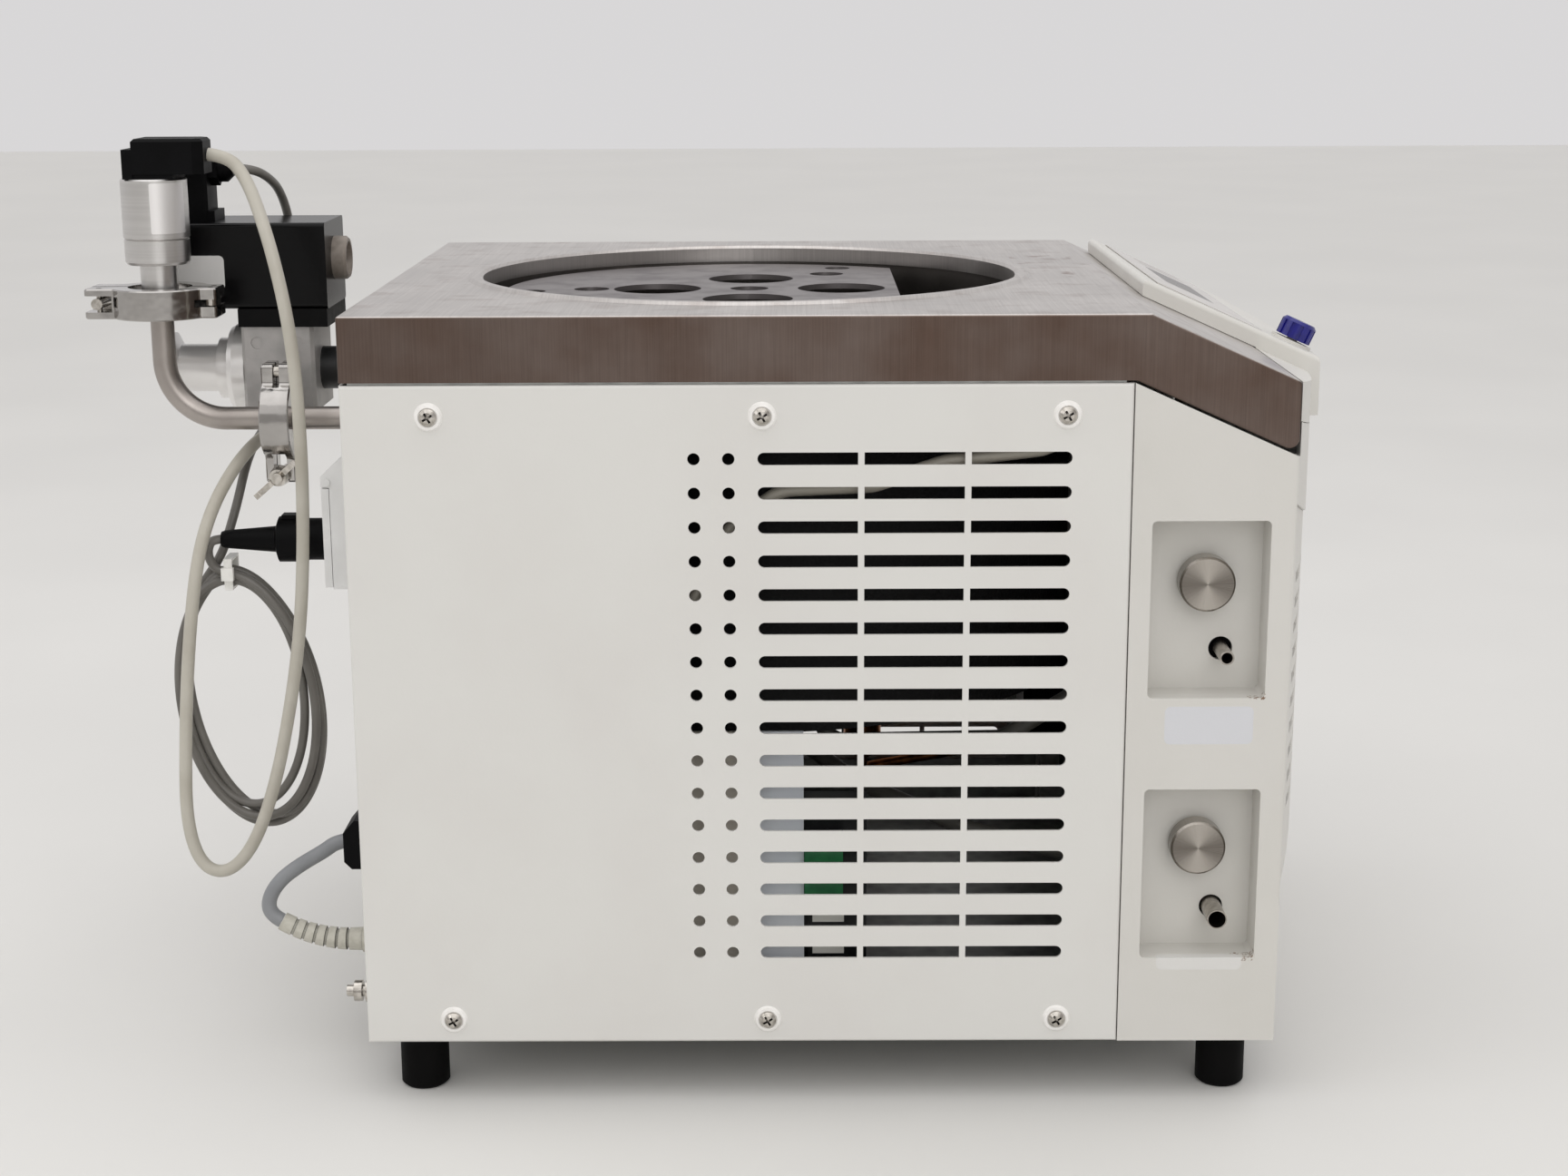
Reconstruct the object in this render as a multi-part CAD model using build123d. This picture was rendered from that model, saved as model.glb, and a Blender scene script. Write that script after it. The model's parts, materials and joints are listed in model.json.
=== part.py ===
"""Bench-top freeze dryer: cabinet, ice chamber, refrigeration, valves, vacuum fittings and cords.

Millimetres. +Z is up, the front faces -Y, +X is the operator's right. The origin lies on the bench,
under the middle of the cabinet. Each function returns one sub-part, which is written to parts/NODE.step.
"""
from build123d import *
from math import cos, pi, radians, sin, tan
import os

# ---------------------------------------------------------------- cabinet
WIDTH = 390.0            # over the side panels
DEPTH = 462.2            # rear panel to the front corners
DECK_Z = 403.5           # top of the steel deck
FOOT_H = 32.0            # bench to cabinet floor
FOOT_R = 12.5
FOOT_INSET_X = 25.0
FOOT_INSET_FRONT = 22.5
FOOT_INSET_REAR = 24.7
FOOT_STUD_R = 3.0
FOOT_STUD_L = 8.0
SHEET = 1.5              # painted and stainless sheet
FRAME_T = 2.0            # floor and inner frame
FOLD = 8.0               # returned flange of a side panel
PANEL_EDGE_R = 1.4       # folded edges of a side panel
SEAM = 0.4               # gap between painted panels
CHEEK_DEPTH = 80.0       # front corner to the seam of the side panel
BAND_H = 32.0            # skirt of the steel deck
BAND_GAP = 1.2           # shadow gap below the skirt
SLOPE_RUN = 72.7         # depth of the deck's front slope
SLOPE = 24.35            # degrees
DECK_EDGE_R = 1.2        # folded edges of the deck
TIP_R = 3.0              # front corner of the deck, above
TIP_FOOT_R = 5.0         # and below
BEAD_W = 9.0             # raised bead round the chamber opening
BEAD_H = 1.4
LIP_DEPTH = 8.0          # straight wall of the opening, below the deck
LIP_T = 1.2

# ventilation pattern of the side panels
SLOT_ROWS = 16
SLOT_PITCH = 16.9
SLOT_H = 6.2
SLOT_DROP = 69.5         # deck to the axis of the first row
SLOT_FRONT = 29.3        # seam to the front end of a row
SLOT_L = 152.0           # whole row of three slots
BRIDGE = 3.1
VENT_HOLE_R = 3.0
VENT_HOLE_STEPS = (14.1, 30.9)
SCREW_R = 2.0            # M4
SCREW_HOLE_FIT = 0.3
SCREW_HEAD_R = 4.2
SCREW_L = 9.0
CUP_R = 7.0
SCREW_DROP = 48.5        # deck to the upper row of screws
SCREW_RISE = 12.5        # cabinet floor to the lower row
SCREW_REAR = (42.6, 44.2)    # rear wall to the rear screws, upper and lower
SCREW_MID_Y = (27.9, 26.9)
SCREW_FRONT = (32.0, 31.2)   # seam to the front screws
AIR_SLOT_ROWS = 8        # air outlet of the rear wall
AIR_SLOT_L = 50.0
AIR_SLOT_Z = 90.0

# front mouldings
WALL = 3.0
BULGE = 32.0             # how far the front bows out at mid width
GRILLE_STEP = 1.2        # grille set back from the fascia
GRILLE_T = 2.5
GRILLE_PITCH = 13.0
GRILLE_SLOT_L = 22.0
GRILLE_SLOT_H = 5.5
GRILLE_SLOT_GAP = 8.0
GRILLE_RAKE = 0.865      # slope of the grille's foot
GRILLE_FOOT = 80.0       # cabinet floor to the fold at the grille's foot
SEAM_DROP = 71.9         # deck to the seam between fascia and control housing, at mid width
SEAM_RISE = 20.0
SMILE_DROP = 121.5       # deck to the lower edge of the fascia, at mid width
SMILE_RISE = 29.0
POCKET_W = 58.0
POCKET_H = 89.3
POCKET_DEPTH = 20.0
POCKET_FRONT = 40.8      # front corner to the middle of the pockets
POCKET_R = 2.6
AERATION_DROP = 145.5    # deck to the middle of the upper pocket
DRAIN_RISE = 89.6        # cabinet floor to the middle of the lower pocket
KNOB_R = 13.8
KNOB_T = 13.0
KNOB_RISE = 11.5         # knob axis above the pocket's middle
STEM_R = 3.0
NOZZLE_DROP = 24.2       # nozzle axis below the pocket's middle
NOZZLE_SHIFT = -9.7
NOZZLE_HOLE_R = 6.0
AERATION_NOZZLE = (3.6, 2.8)     # outer radius and bore
DRAIN_NOZZLE = (5.0, 4.4)
VALVE_L = 24.0
HOSE_R = 4.5

# control housing
HOUSING_X0 = -72.0
HOUSING_X1 = 170.0
HOUSING_BACK = 60.1      # front corners to the housing's back
HOUSING_H = 9.5
HOUSING_LEAD = 7.0       # how far its front stands before the fascia
HOUSING_EDGE_R = 2.5
PANEL_RIM = 11.0
FILM_T = 0.8
DIAL_X = -48.0
DIAL_FROM_FRONT = 13.5
DIAL_R = 9.6
DIAL_H = 10.0
DIAL_RISE = 2.2          # knob above the housing's face
FLUTES = 12
ENCODER_R = 3.0

# ice chamber
OPENING_Y = 36.9
POT_R = 150.0
POT_DEPTH = 197.5
POT_RIM = 12.0
OPENING_INSET = 3.5      # opening of the deck inside the pot's wall
PLATE_INSET = 15.0
PLATE_T = 3.0
PLATE_DROP = 8.5         # deck to the top of the plate
PLATE_CHORD = 82.0
PLATE_HOLES = (          # reach, first angle, number and radius of each ring of holes
    (0.0, 0, 1, 10.6), (51.0, 0, 4, 24.2), (87.5, 90, 3, 9.8), (120.0, 95, 3, 7.4))
SPOUT_R = 6.5
SPOUT_BORE = 4.0
SPOUT_L = 22.0
AIR_SPOUT = (-70.0, -38.9)       # from the chamber's axis
COIL_TUBE_R = 4.0
COIL_TURNS = 6
COIL_RISE = 16.0         # chamber floor to the first turn
COIL_TAIL = 10.0
FOAM_T = 18.0
FOAM_FLOOR = 13.0

# fits
RUN_FIT = 0.05           # radial clearance of a running fit
REST_GAP = 0.3
FOLD_GAP = 0.5           # painted sheet to painted sheet
EDGE = 4.0               # inner sheets end this far inside the cabinet's corners

W2 = WIDTH / 2
D2 = DEPTH / 2
SEAM_Y = -D2 + CHEEK_DEPTH
BEND_Y = -D2 + SLOPE_RUN
DROP = tan(radians(SLOPE))
BAND_Z = DECK_Z - BAND_H
PANEL_TOP = BAND_Z - BAND_GAP
TIP_Z = DECK_Z - SLOPE_RUN * DROP
FRAME_X = W2 - SHEET - REST_GAP
FRAME_TOP = DECK_Z - SHEET
PAN_X = W2 - FOLD - FOLD_GAP
FLANGE_TOP = FOOT_H + 30.0
SLOT_TOP_Z = DECK_Z - SLOT_DROP
SLOT_Y0 = SEAM_Y + SLOT_FRONT
SLOT_Y1 = SLOT_Y0 + SLOT_L
SCREWS = [(y, z) for rear, middle, front, z in zip(SCREW_REAR, SCREW_MID_Y, SCREW_FRONT,
                                                   (DECK_Z - SCREW_DROP, FOOT_H + SCREW_RISE))
          for y in (D2 - rear, middle, SEAM_Y + front)]
SEAM_Z = DECK_Z - SEAM_DROP
SMILE_Z = DECK_Z - SMILE_DROP
FOLD_Z = FOOT_H + GRILLE_FOOT
POCKET_Y = -D2 + POCKET_FRONT
AERATION_Z = DECK_Z - AERATION_DROP
DRAIN_Z = FOOT_H + DRAIN_RISE
VALVE_X0 = -W2 + POCKET_DEPTH + WALL + REST_GAP
HOUSING_Y1 = -D2 + HOUSING_BACK
OPENING_R = POT_R - OPENING_INSET
POT_FLOOR_Z = DECK_Z - POT_DEPTH
PLATE_R = POT_R - PLATE_INSET
PLATE_Z = DECK_Z - PLATE_DROP
COIL_R = POT_R + SHEET + COIL_TUBE_R + REST_GAP
COIL_Z0 = POT_FLOOR_Z + COIL_RISE
FOAM_INNER = COIL_R + COIL_TUBE_R + FOLD_GAP
FOAM_Z1 = POT_FLOOR_Z - SHEET - REST_GAP
FOAM_Z0 = FOAM_Z1 - FOAM_FLOOR
LINE_X = W2 - 9.0        # refrigerant line between the foam and the side panel

# ---------------------------------------------------------------- rear vacuum fittings
ELBOW_X = -40.0
ELBOW_OUT = 122.6        # rear wall to the gauge's axis
ELBOW_DROP = 73.7        # deck to the tube's axis
ELBOW_R = 32.0
TUBE_R = 6.25
TUBE_WALL = 1.0
WALL_PLATE_R = 12.5
WALL_PLATE_T = 2.5
PORT_CLAMP_OUT = 60.9
GAUGE_RISE = 63.9        # tube axis to the gauge's clamp
GAUGE_R = 17.5
GAUGE_NECK_R = 9.8
GAUGE_NECK_L = 20.3
GAUGE_BODY_L = 45.5
GAUGE_JOINT = 13.7       # joint line above the body's foot
GAUGE_FLANGE_R = 20.0
TUBE_FLANGE_R = 15.0
FLANGE_T = 3.2
CENTRING_T = 2.0
VALVE_X = 16.0
VALVE_W = 52.0
VALVE_OUT = 47.3         # rear wall to the valve block
VALVE_D = 40.2
VALVE_PORT_DROP = 53.8   # deck to the axis of the valve's ports
VALVE_BELOW = 21.2
VALVE_ABOVE = 26.3
CAP_T = 10.0
MAGNET_OUT = 38.1
MAGNET_L = 97.7
MAGNET_W = 56.0
MAGNET_H = 47.0
MAGNET_R = 2.5
PORT_OUT = 134.1         # rear wall to the face of the pump flange
PORT_FLANGE_R = 20.0
PORT_FLANGE_T = 5.0
PORT_BORE = 11.0
BOSS_R = 12.0
BOSS_BORE = 9.0

GAUGE_Y = D2 + ELBOW_OUT
ELBOW_Z = DECK_Z - ELBOW_DROP
PORT_CLAMP_Y = D2 + PORT_CLAMP_OUT
GAUGE_CLAMP_Z = ELBOW_Z + GAUGE_RISE
GAUGE_Z0 = GAUGE_CLAMP_Z + GAUGE_NECK_L
GAUGE_Z1 = GAUGE_Z0 + GAUGE_BODY_L
VALVE_Y0 = D2 + VALVE_OUT
VALVE_Y1 = VALVE_Y0 + VALVE_D
PORT_Z = DECK_Z - VALVE_PORT_DROP
VALVE_Z0 = PORT_Z - VALVE_BELOW
VALVE_Z1 = PORT_Z + VALVE_ABOVE
MAGNET_Y0 = D2 + MAGNET_OUT
MAGNET_Z0 = VALVE_Z1 + CAP_T
MAGNET_Z1 = MAGNET_Z0 + MAGNET_H
POT_PORT_Y = OPENING_Y + POT_R - 6.0     # inner ends of the tubes that enter the chamber
COIL_Z1 = ELBOW_Z - TUBE_R - COIL_TUBE_R - 3.0   # last turn, clear below those tubes


def slab(x0, x1, y0, y1, z0, z1):
    """Box between two corners."""
    return Pos((x0 + x1) / 2, (y0 + y1) / 2, (z0 + z1) / 2) * Box(x1 - x0, y1 - y0, z1 - z0)


AXES = {"x": (1, 0, 0), "y": (0, 1, 0), "z": (0, 0, 1)}


def rod(axis, start, length, radius, bore=0.0):
    """Round bar or tube from start along an axis."""
    plane = Plane(origin=start, z_dir=AXES[axis])
    profile = Circle(radius) - Circle(bore) if bore else Circle(radius)
    return extrude(plane * profile, length)


def turned(origin, axis, points):
    """Solid of revolution: points are (radius, distance along the axis)."""
    plane = Plane(origin=origin, z_dir=AXES[axis])
    outline = make_face(Polyline(*[(r, 0, h) for r, h in points], close=True))
    return plane.location * revolve(outline, Axis.Z)


def side_prism(points, x0, x1):
    """Outline in (y, z), extruded from x0 to x1."""
    outline = make_face(Polyline(*[(x0, y, z) for y, z in points], close=True))
    return extrude(outline, x1 - x0, dir=(1, 0, 0))


def bend_radii(points):
    """Largest arc that each corner of a cord's route allows."""
    radii = []
    for before, corner, after in zip(points, points[1:], points[2:]):
        first = Vector(corner) - Vector(before)
        second = Vector(after) - Vector(corner)
        half_turn = radians(first.get_angle(second) / 2)
        radii.append(0.45 * min(first.length, second.length) / tan(half_turn))
    return radii


def cord(name, points, radius):
    """Round cord along straight runs joined by tangent arcs."""
    radii = bend_radii(points)
    path = FilletPolyline(*points, radius=radii)
    solid = sweep(Plane(origin=path @ 0, z_dir=path % 0) * Circle(radius), path=path)
    ideal = pi * radius ** 2 * path.length
    print(f"{name}: length {path.length:.0f}, radii", *(f"{r:.0f}" for r in radii),
          f"volume ratio {solid.volume / ideal:.4f}")
    return solid


def pipe(points, radius, bend):
    """Bent pipe or hose."""
    path = FilletPolyline(*points, radius=[min(bend, r) for r in bend_radii(points)])
    return sweep(Plane(origin=path @ 0, z_dir=path % 0) * Circle(radius), path=path)


def deck_line(y, offset=0.0):
    """Height of the deck's outer face at y, less an offset square to it."""
    if y >= BEND_Y:
        return DECK_Z - offset
    return DECK_Z - (BEND_Y - y) * DROP - offset / cos(radians(SLOPE))


def band_line(y):
    """Height of the skirt's lower edge at y."""
    return BAND_Z - max(0.0, SEAM_Y - y) * DROP


def bow(x):
    """Front face of the mouldings at x."""
    return -D2 - BULGE * (1 - (x / W2) ** 2)


def smile(x, z, rise):
    """Height of a design line that rises to the sides."""
    return z + rise * (x / W2) ** 2


def bowed_plan(back, side_inset, front_inset, z0, z1):
    """Prism with straight sides and back and a bowed front."""
    side = W2 - side_inset
    front = bow(side) + front_inset
    middle = bow(0) + front_inset
    edge = Line((-side, front, z0), (-side, back, z0))
    edge += Line((-side, back, z0), (side, back, z0))
    edge += Line((side, back, z0), (side, front, z0))
    edge += ThreePointArc((side, front, z0), (0, middle, z0), (-side, front, z0))
    return extrude(make_face(edge), z1 - z0, dir=(0, 0, 1))


FAR = 120.0              # reach of a cut that clears the bowed front


def arch_prism(z_mid, rise, z_base, y0, y1, spread):
    """Prism along Y between z_base and an arc that rises to the sides."""
    side = W2 + spread
    edge_z = smile(side, z_mid, rise)
    edge = Line((-side, y0, edge_z), (-side, y0, z_base))
    edge += Line((-side, y0, z_base), (side, y0, z_base))
    edge += Line((side, y0, z_base), (side, y0, edge_z))
    edge += ThreePointArc((side, y0, edge_z), (0, y0, z_mid), (-side, y0, edge_z))
    return extrude(make_face(edge), y1 - y0, dir=(0, 1, 0))


# ---------------------------------------------------------------- cabinet
def base_pan():
    """Folded floor with upturned sides that take the lower screws, and a nylon peg underneath."""
    pan_rear = D2 - SHEET - 1.0
    pan = slab(-PAN_X, PAN_X, -D2 + EDGE, pan_rear, FOOT_H, FOOT_H + FRAME_T)
    for side in (-1, 1):
        wall = sorted((side * FRAME_X, side * (FRAME_X - FRAME_T)))
        foot = sorted((side * FRAME_X, side * (PAN_X - EDGE)))
        pan += slab(*wall, SEAM_Y + EDGE, D2 - EDGE, FOOT_H + FRAME_T, FLANGE_TOP)
        pan += slab(*foot, SEAM_Y + EDGE, D2 - EDGE, FOOT_H + FRAME_T, FOOT_H + 2 * FRAME_T)
        for y, z in SCREWS:
            if z < FLANGE_TOP:
                pan -= rod("x", (side * FRAME_X - 5, y, z), 10, SCREW_R)
    for x, y in feet_places():
        pan -= rod("z", (x, y, FOOT_H - 1), FRAME_T + 2, FOOT_STUD_R + 0.1)
    peg_x, peg_y, peg_drop = -W2 + 20, -35.8, 3.4
    return pan + rod("z", (peg_x, peg_y, FOOT_H - peg_drop), peg_drop + 1, 2.2)


def inner_frame():
    """Welded sheet frame that carries the deck and the chamber."""
    web_z = SLOT_TOP_Z + 8
    flange_w = 16.0
    rear, front = D2 - EDGE, SEAM_Y + EDGE
    frame = slab(-FRAME_X, FRAME_X, rear - FRAME_T, rear, FRAME_TOP - 26, FRAME_TOP)
    frame += slab(-FRAME_X, FRAME_X, front, front + FRAME_T, FRAME_TOP - 12, FRAME_TOP)
    for side in (-1, 1):
        web = sorted((side * FRAME_X, side * (FRAME_X - FRAME_T)))
        flange = sorted((side * FRAME_X, side * (FRAME_X - flange_w)))
        frame += slab(*web, front, rear, web_z, FRAME_TOP)
        frame += slab(*flange, front, rear, FRAME_TOP - FRAME_T, FRAME_TOP)
        frame += slab(*web, front, SLOT_Y0 - 6, FLANGE_TOP, web_z + 1)
        frame += slab(*web, rear - 30, rear, FLANGE_TOP, web_z + 1)
        for y, z in SCREWS:
            if z > FLANGE_TOP:
                frame -= rod("x", (side * FRAME_X - 5, y, z), 10, SCREW_R)
    return frame


def rear_panel():
    """Flat rear wall, pierced for the vacuum ports and the air outlet."""
    panel = slab(-PAN_X, PAN_X, D2 - SHEET, D2, FOOT_H + FOLD_GAP, BAND_Z - FOLD_GAP)
    panel -= rod("y", (ELBOW_X, D2 - 5, ELBOW_Z), 10, TUBE_R + FOLD_GAP)
    panel -= rod("y", (VALVE_X, D2 - 5, PORT_Z), 10, BOSS_R + FOLD_GAP)
    for row in range(AIR_SLOT_ROWS):
        z = AIR_SLOT_Z + row * SLOT_PITCH
        for x in (60.0, 60.0 + AIR_SLOT_L + EDGE):
            panel -= slab(x, x + AIR_SLOT_L, D2 - 5, D2 + 5, z, z + SLOT_H)
    return panel


def slot_row(z, x0, x1):
    """One row of three slots, round at the outer ends and square at the bridges."""
    radius = SLOT_H / 2
    third = (SLOT_L - 2 * BRIDGE) / 3
    row = slab(x0, x1, SLOT_Y0 + radius, SLOT_Y1 - radius, z - radius, z + radius)
    for y in (SLOT_Y0 + radius, SLOT_Y1 - radius):
        row += rod("x", (x0, y, z), x1 - x0, radius)
    for y in (SLOT_Y0 + third, SLOT_Y1 - third - BRIDGE):
        row -= slab(x0 - 1, x1 + 1, y, y + BRIDGE, z - radius - 1, z + radius + 1)
    return row


def side_panel(side, vent_holes):
    """Folded side panel with returned flanges and pressed slots."""
    y0, y1 = SEAM_Y + SEAM / 2, D2
    outer = slab(-W2, -W2 + FOLD, y0, y1, FOOT_H, PANEL_TOP)
    outer = fillet(outer.edges().filter_by(lambda e: abs(e.center().X + W2) < 0.01), PANEL_EDGE_R)
    panel = outer - slab(-W2 + SHEET, -W2 + FOLD + 1, y0 + SHEET, y1 - SHEET, FOOT_H + SHEET, PANEL_TOP + 1)
    through = (-W2 - 1, -W2 + SHEET + 1)
    for row in range(SLOT_ROWS):
        z = SLOT_TOP_Z - row * SLOT_PITCH
        panel -= slot_row(z, *through)
        if vent_holes:
            for step in VENT_HOLE_STEPS:
                panel -= rod("x", (through[0], SLOT_Y1 + step, z), SHEET + 2, VENT_HOLE_R)
    for y, z in SCREWS:
        panel -= rod("x", (through[0], y, z), SHEET + 2, SCREW_R + SCREW_HOLE_FIT)
    return panel if side < 0 else mirror(panel, Plane.YZ)


def feet_places():
    """Middles of the four feet."""
    x = W2 - FOOT_INSET_X
    return [(side * x, y) for side in (-1, 1) for y in (-D2 + FOOT_INSET_FRONT, D2 - FOOT_INSET_REAR)]


def rubber_feet():
    """Four moulded feet, each with the stud that holds it to the floor."""
    toe = 1.5
    profile = [(0, 0), (FOOT_R - toe, 0), (FOOT_R, toe), (FOOT_R, FOOT_H), (FOOT_STUD_R, FOOT_H),
               (FOOT_STUD_R, FOOT_H + FOOT_STUD_L), (0, FOOT_H + FOOT_STUD_L)]
    return [turned((x, y, 0), "z", profile) for x, y in feet_places()]


def panel_screws():
    """Pan-head screws of both side panels, each with a cross recess."""
    head_h, cross, cross_w = 2.8, 2.7, 0.55
    screws = []
    for side in (-1, 1):
        for y, z in SCREWS:
            screw = turned((0, 0, 0), "x", [(0, -SCREW_L), (SCREW_R - RUN_FIT, -SCREW_L), (SCREW_R - RUN_FIT, 0),
                                            (SCREW_HEAD_R, 0), (SCREW_HEAD_R, 0.9), (2.6, 2.5), (0, head_h)])
            recess = slab(0.8, head_h + 1, -cross_w, cross_w, -cross, cross)
            recess += slab(0.8, head_h + 1, -cross, cross, -cross_w, cross_w)
            screw -= Rot(X=30) * recess
            screws.append(Pos(side * (W2 + 1.0), y, z) * (screw if side > 0 else Rot(Z=180) * screw))
    return screws


def cup_washers():
    """White finishing washers under the screw heads."""
    inner = SCREW_R + 0.4
    profile = [(inner, 0), (CUP_R, 0), (CUP_R - 0.8, 1.2), (CUP_R - 2.2, 1.6), (CUP_R - 2.6, 1.0), (inner, 1.0)]
    cups = []
    for side in (-1, 1):
        cup = turned((0, 0, 0), "x", [(r, side * h) for r, h in profile])
        cups += [Pos(side * W2, y, z) * cup for y, z in SCREWS]
    return cups


def steel_deck():
    """Folded stainless cover: flat top, front slope, skirts and the rolled opening."""
    cover = side_prism([(D2, BAND_Z), (D2, DECK_Z), (BEND_Y, DECK_Z), (-D2, TIP_Z), (-D2, band_line(-D2)),
                        (SEAM_Y, BAND_Z)], -W2, W2)
    across = cover.edges().filter_by(Axis.X)
    cover = fillet(across.filter_by(lambda e: abs(e.center().Y + D2) < 0.01 and e.center().Z > BAND_Z - 9), TIP_R)
    across = cover.edges().filter_by(Axis.X)
    cover = fillet(across.filter_by(lambda e: abs(e.center().Z - band_line(-D2)) < 0.01), TIP_FOOT_R)
    rims = cover.edges().filter_by(lambda e: abs(abs(e.center().X) - W2) < 0.01 and e.center().Z > BAND_Z + 0.1)
    rims += cover.edges().filter_by(lambda e: abs(e.center().Y - D2) < 0.01 and abs(e.center().Z - DECK_Z) < 0.01)
    cover = fillet(rims, DECK_EDGE_R)
    below = band_line(-D2) - 40
    cover -= side_prism([(D2 - SHEET, below), (D2 - SHEET, DECK_Z - SHEET), (BEND_Y + 0.3, DECK_Z - SHEET),
                         (-D2 + SHEET, deck_line(-D2 + SHEET, SHEET)), (-D2 + SHEET, below)], -W2 + SHEET, W2 - SHEET)
    bead = OPENING_R + BEAD_W
    cover -= rod("z", (0, OPENING_Y, DECK_Z - 20), 40, OPENING_R + EDGE)
    rim = turned((0, OPENING_Y, DECK_Z), "z", [
        (bead, 0), (bead - 2.5, BEAD_H), (OPENING_R + 2.0, BEAD_H), (OPENING_R, 0), (OPENING_R, -LIP_DEPTH),
        (OPENING_R + LIP_T, -LIP_DEPTH), (OPENING_R + LIP_T, -SHEET), (bead, -SHEET)])
    return cover + rim


def pocket_box(z, grow=0.0):
    """Space of a valve pocket, or its outer skin when grown."""
    half_w = POCKET_W / 2 + grow
    half_h = POCKET_H / 2 + grow
    mouth = -W2 - (0 if grow else 1)
    return slab(mouth, -W2 + POCKET_DEPTH + grow, POCKET_Y - half_w, POCKET_Y + half_w, z - half_h, z + half_h)


def front_casing():
    """Painted front moulding: side cheeks, fascia, two valve pockets and the floor of the front."""
    back = SEAM_Y - SEAM / 2
    sill = band_line(-D2) - BAND_GAP
    shell = bowed_plan(back, 0, 0, FOOT_H, PANEL_TOP)
    shell = fillet(shell.edges().filter_by(Axis.Z).sort_by(Axis.Y)[:2], 2.0)
    shell -= bowed_plan(back + 2, WALL, WALL, FOOT_H + WALL, PANEL_TOP + 1)
    above = [(SEAM_Y + 5, PANEL_TOP + 9), (SEAM_Y + 5, PANEL_TOP), (SEAM_Y, PANEL_TOP), (-D2, sill), (-D2 - 1, sill),
             (-D2 - 1, PANEL_TOP + 9)]
    shell -= side_prism(above, -W2 - 1, W2 + 1)
    front_cut = slab(-W2 - 9, W2 + 9, -D2 - FAR, -D2 - 1, SMILE_Z, PANEL_TOP + 9)
    shell -= front_cut - arch_prism(SEAM_Z - SEAM, SEAM_RISE, 0, -D2 - FAR - 1, -D2 + 20, 3)
    window = arch_prism(SMILE_Z, SMILE_RISE, FOOT_H - 1, -D2 - FAR, -D2 + WALL, 1)
    for side in (-1, 1):
        cheek = sorted((side * (W2 - WALL), side * (W2 + 2)))
        window -= slab(*cheek, -D2, -D2 + WALL + 1, 0, PANEL_TOP)
    shell -= window
    shell += slab(-W2, W2, -D2, -D2 + WALL, FOOT_H, FOLD_Z - 6)
    pan_x = PAN_X + REST_GAP
    shell -= slab(-pan_x, pan_x, -D2 + EDGE - REST_GAP, SEAM_Y + 9, FOOT_H - 1, FOOT_H + WALL + 1)
    for z in (AERATION_Z, DRAIN_Z):
        shell += pocket_box(z, WALL)
    for z in (AERATION_Z, DRAIN_Z):
        hollow = pocket_box(z)
        shell -= fillet(hollow.edges().filter_by(Axis.X), POCKET_R)
        back_x = -W2 + POCKET_DEPTH - 1
        shell -= rod("x", (back_x, POCKET_Y, z + KNOB_RISE), WALL + 3, STEM_R + 2)
        shell -= rod("x", (back_x, POCKET_Y + NOZZLE_SHIFT, z - NOZZLE_DROP), WALL + 3, NOZZLE_HOLE_R)
    return shell


def front_grille():
    """Bowed, slotted panel between the cheeks, with its foot swept back to the lower front."""
    z0 = FOLD_Z - 5.5
    z1 = SMILE_Z + SMILE_RISE + 8
    side = WALL + REST_GAP
    back = -D2 + WALL
    skins = []
    for lift in (0.0, GRILLE_T):
        skin = bowed_plan(back + 2 * lift, side + lift, GRILLE_STEP + lift, z0 - 1 + lift, z1 + lift)
        fold = 1.4 * lift
        foot = [(-D2 - FAR, z0 - 2), (-D2 - FAR, FOLD_Z + FAR * GRILLE_RAKE), (-D2 + fold, FOLD_Z), (back + 6, FOLD_Z),
                (back + 6, z0 - 2)]
        skins.append(skin - side_prism([(y, z + fold) for y, z in foot], -W2, W2))
    panel = skins[0] - skins[1]
    panel -= slab(-W2, W2, -D2, -D2 + 9, SMILE_Z, z1 + 9)
    panel &= arch_prism(SMILE_Z - REST_GAP, SMILE_RISE, z0 - 3, -D2 - FAR, -D2 + 20, 1)
    pitch_x = GRILLE_SLOT_L + GRILLE_SLOT_GAP
    columns = int((WIDTH - 2 * side - 16) // pitch_x)
    rows = int((SMILE_Z - FOLD_Z - BULGE - 6) // GRILLE_PITCH)
    for row in range(rows):
        z = SMILE_Z - 12 - row * GRILLE_PITCH
        for column in range(columns):
            x = (column - (columns - 1) / 2) * pitch_x
            panel -= slab(x - GRILLE_SLOT_L / 2, x + GRILLE_SLOT_L / 2, -D2 - FAR, -D2 + 2,
                          z - GRILLE_SLOT_H / 2, z + GRILLE_SLOT_H / 2)
    return panel


# ---------------------------------------------------------------- ice chamber
def chamber_ports(reach, fit):
    """Bores for the two tubes that enter the chamber through its rear."""
    y = OPENING_Y + POT_R / 2
    return [rod("y", (ELBOW_X, y, ELBOW_Z), reach, TUBE_R + fit), rod("y", (VALVE_X, y, PORT_Z), reach, BOSS_R + fit)]


def spout_places():
    """Drain and aeration spouts under the chamber."""
    return [(0, OPENING_Y), (AIR_SPOUT[0], OPENING_Y + AIR_SPOUT[1])]


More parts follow.
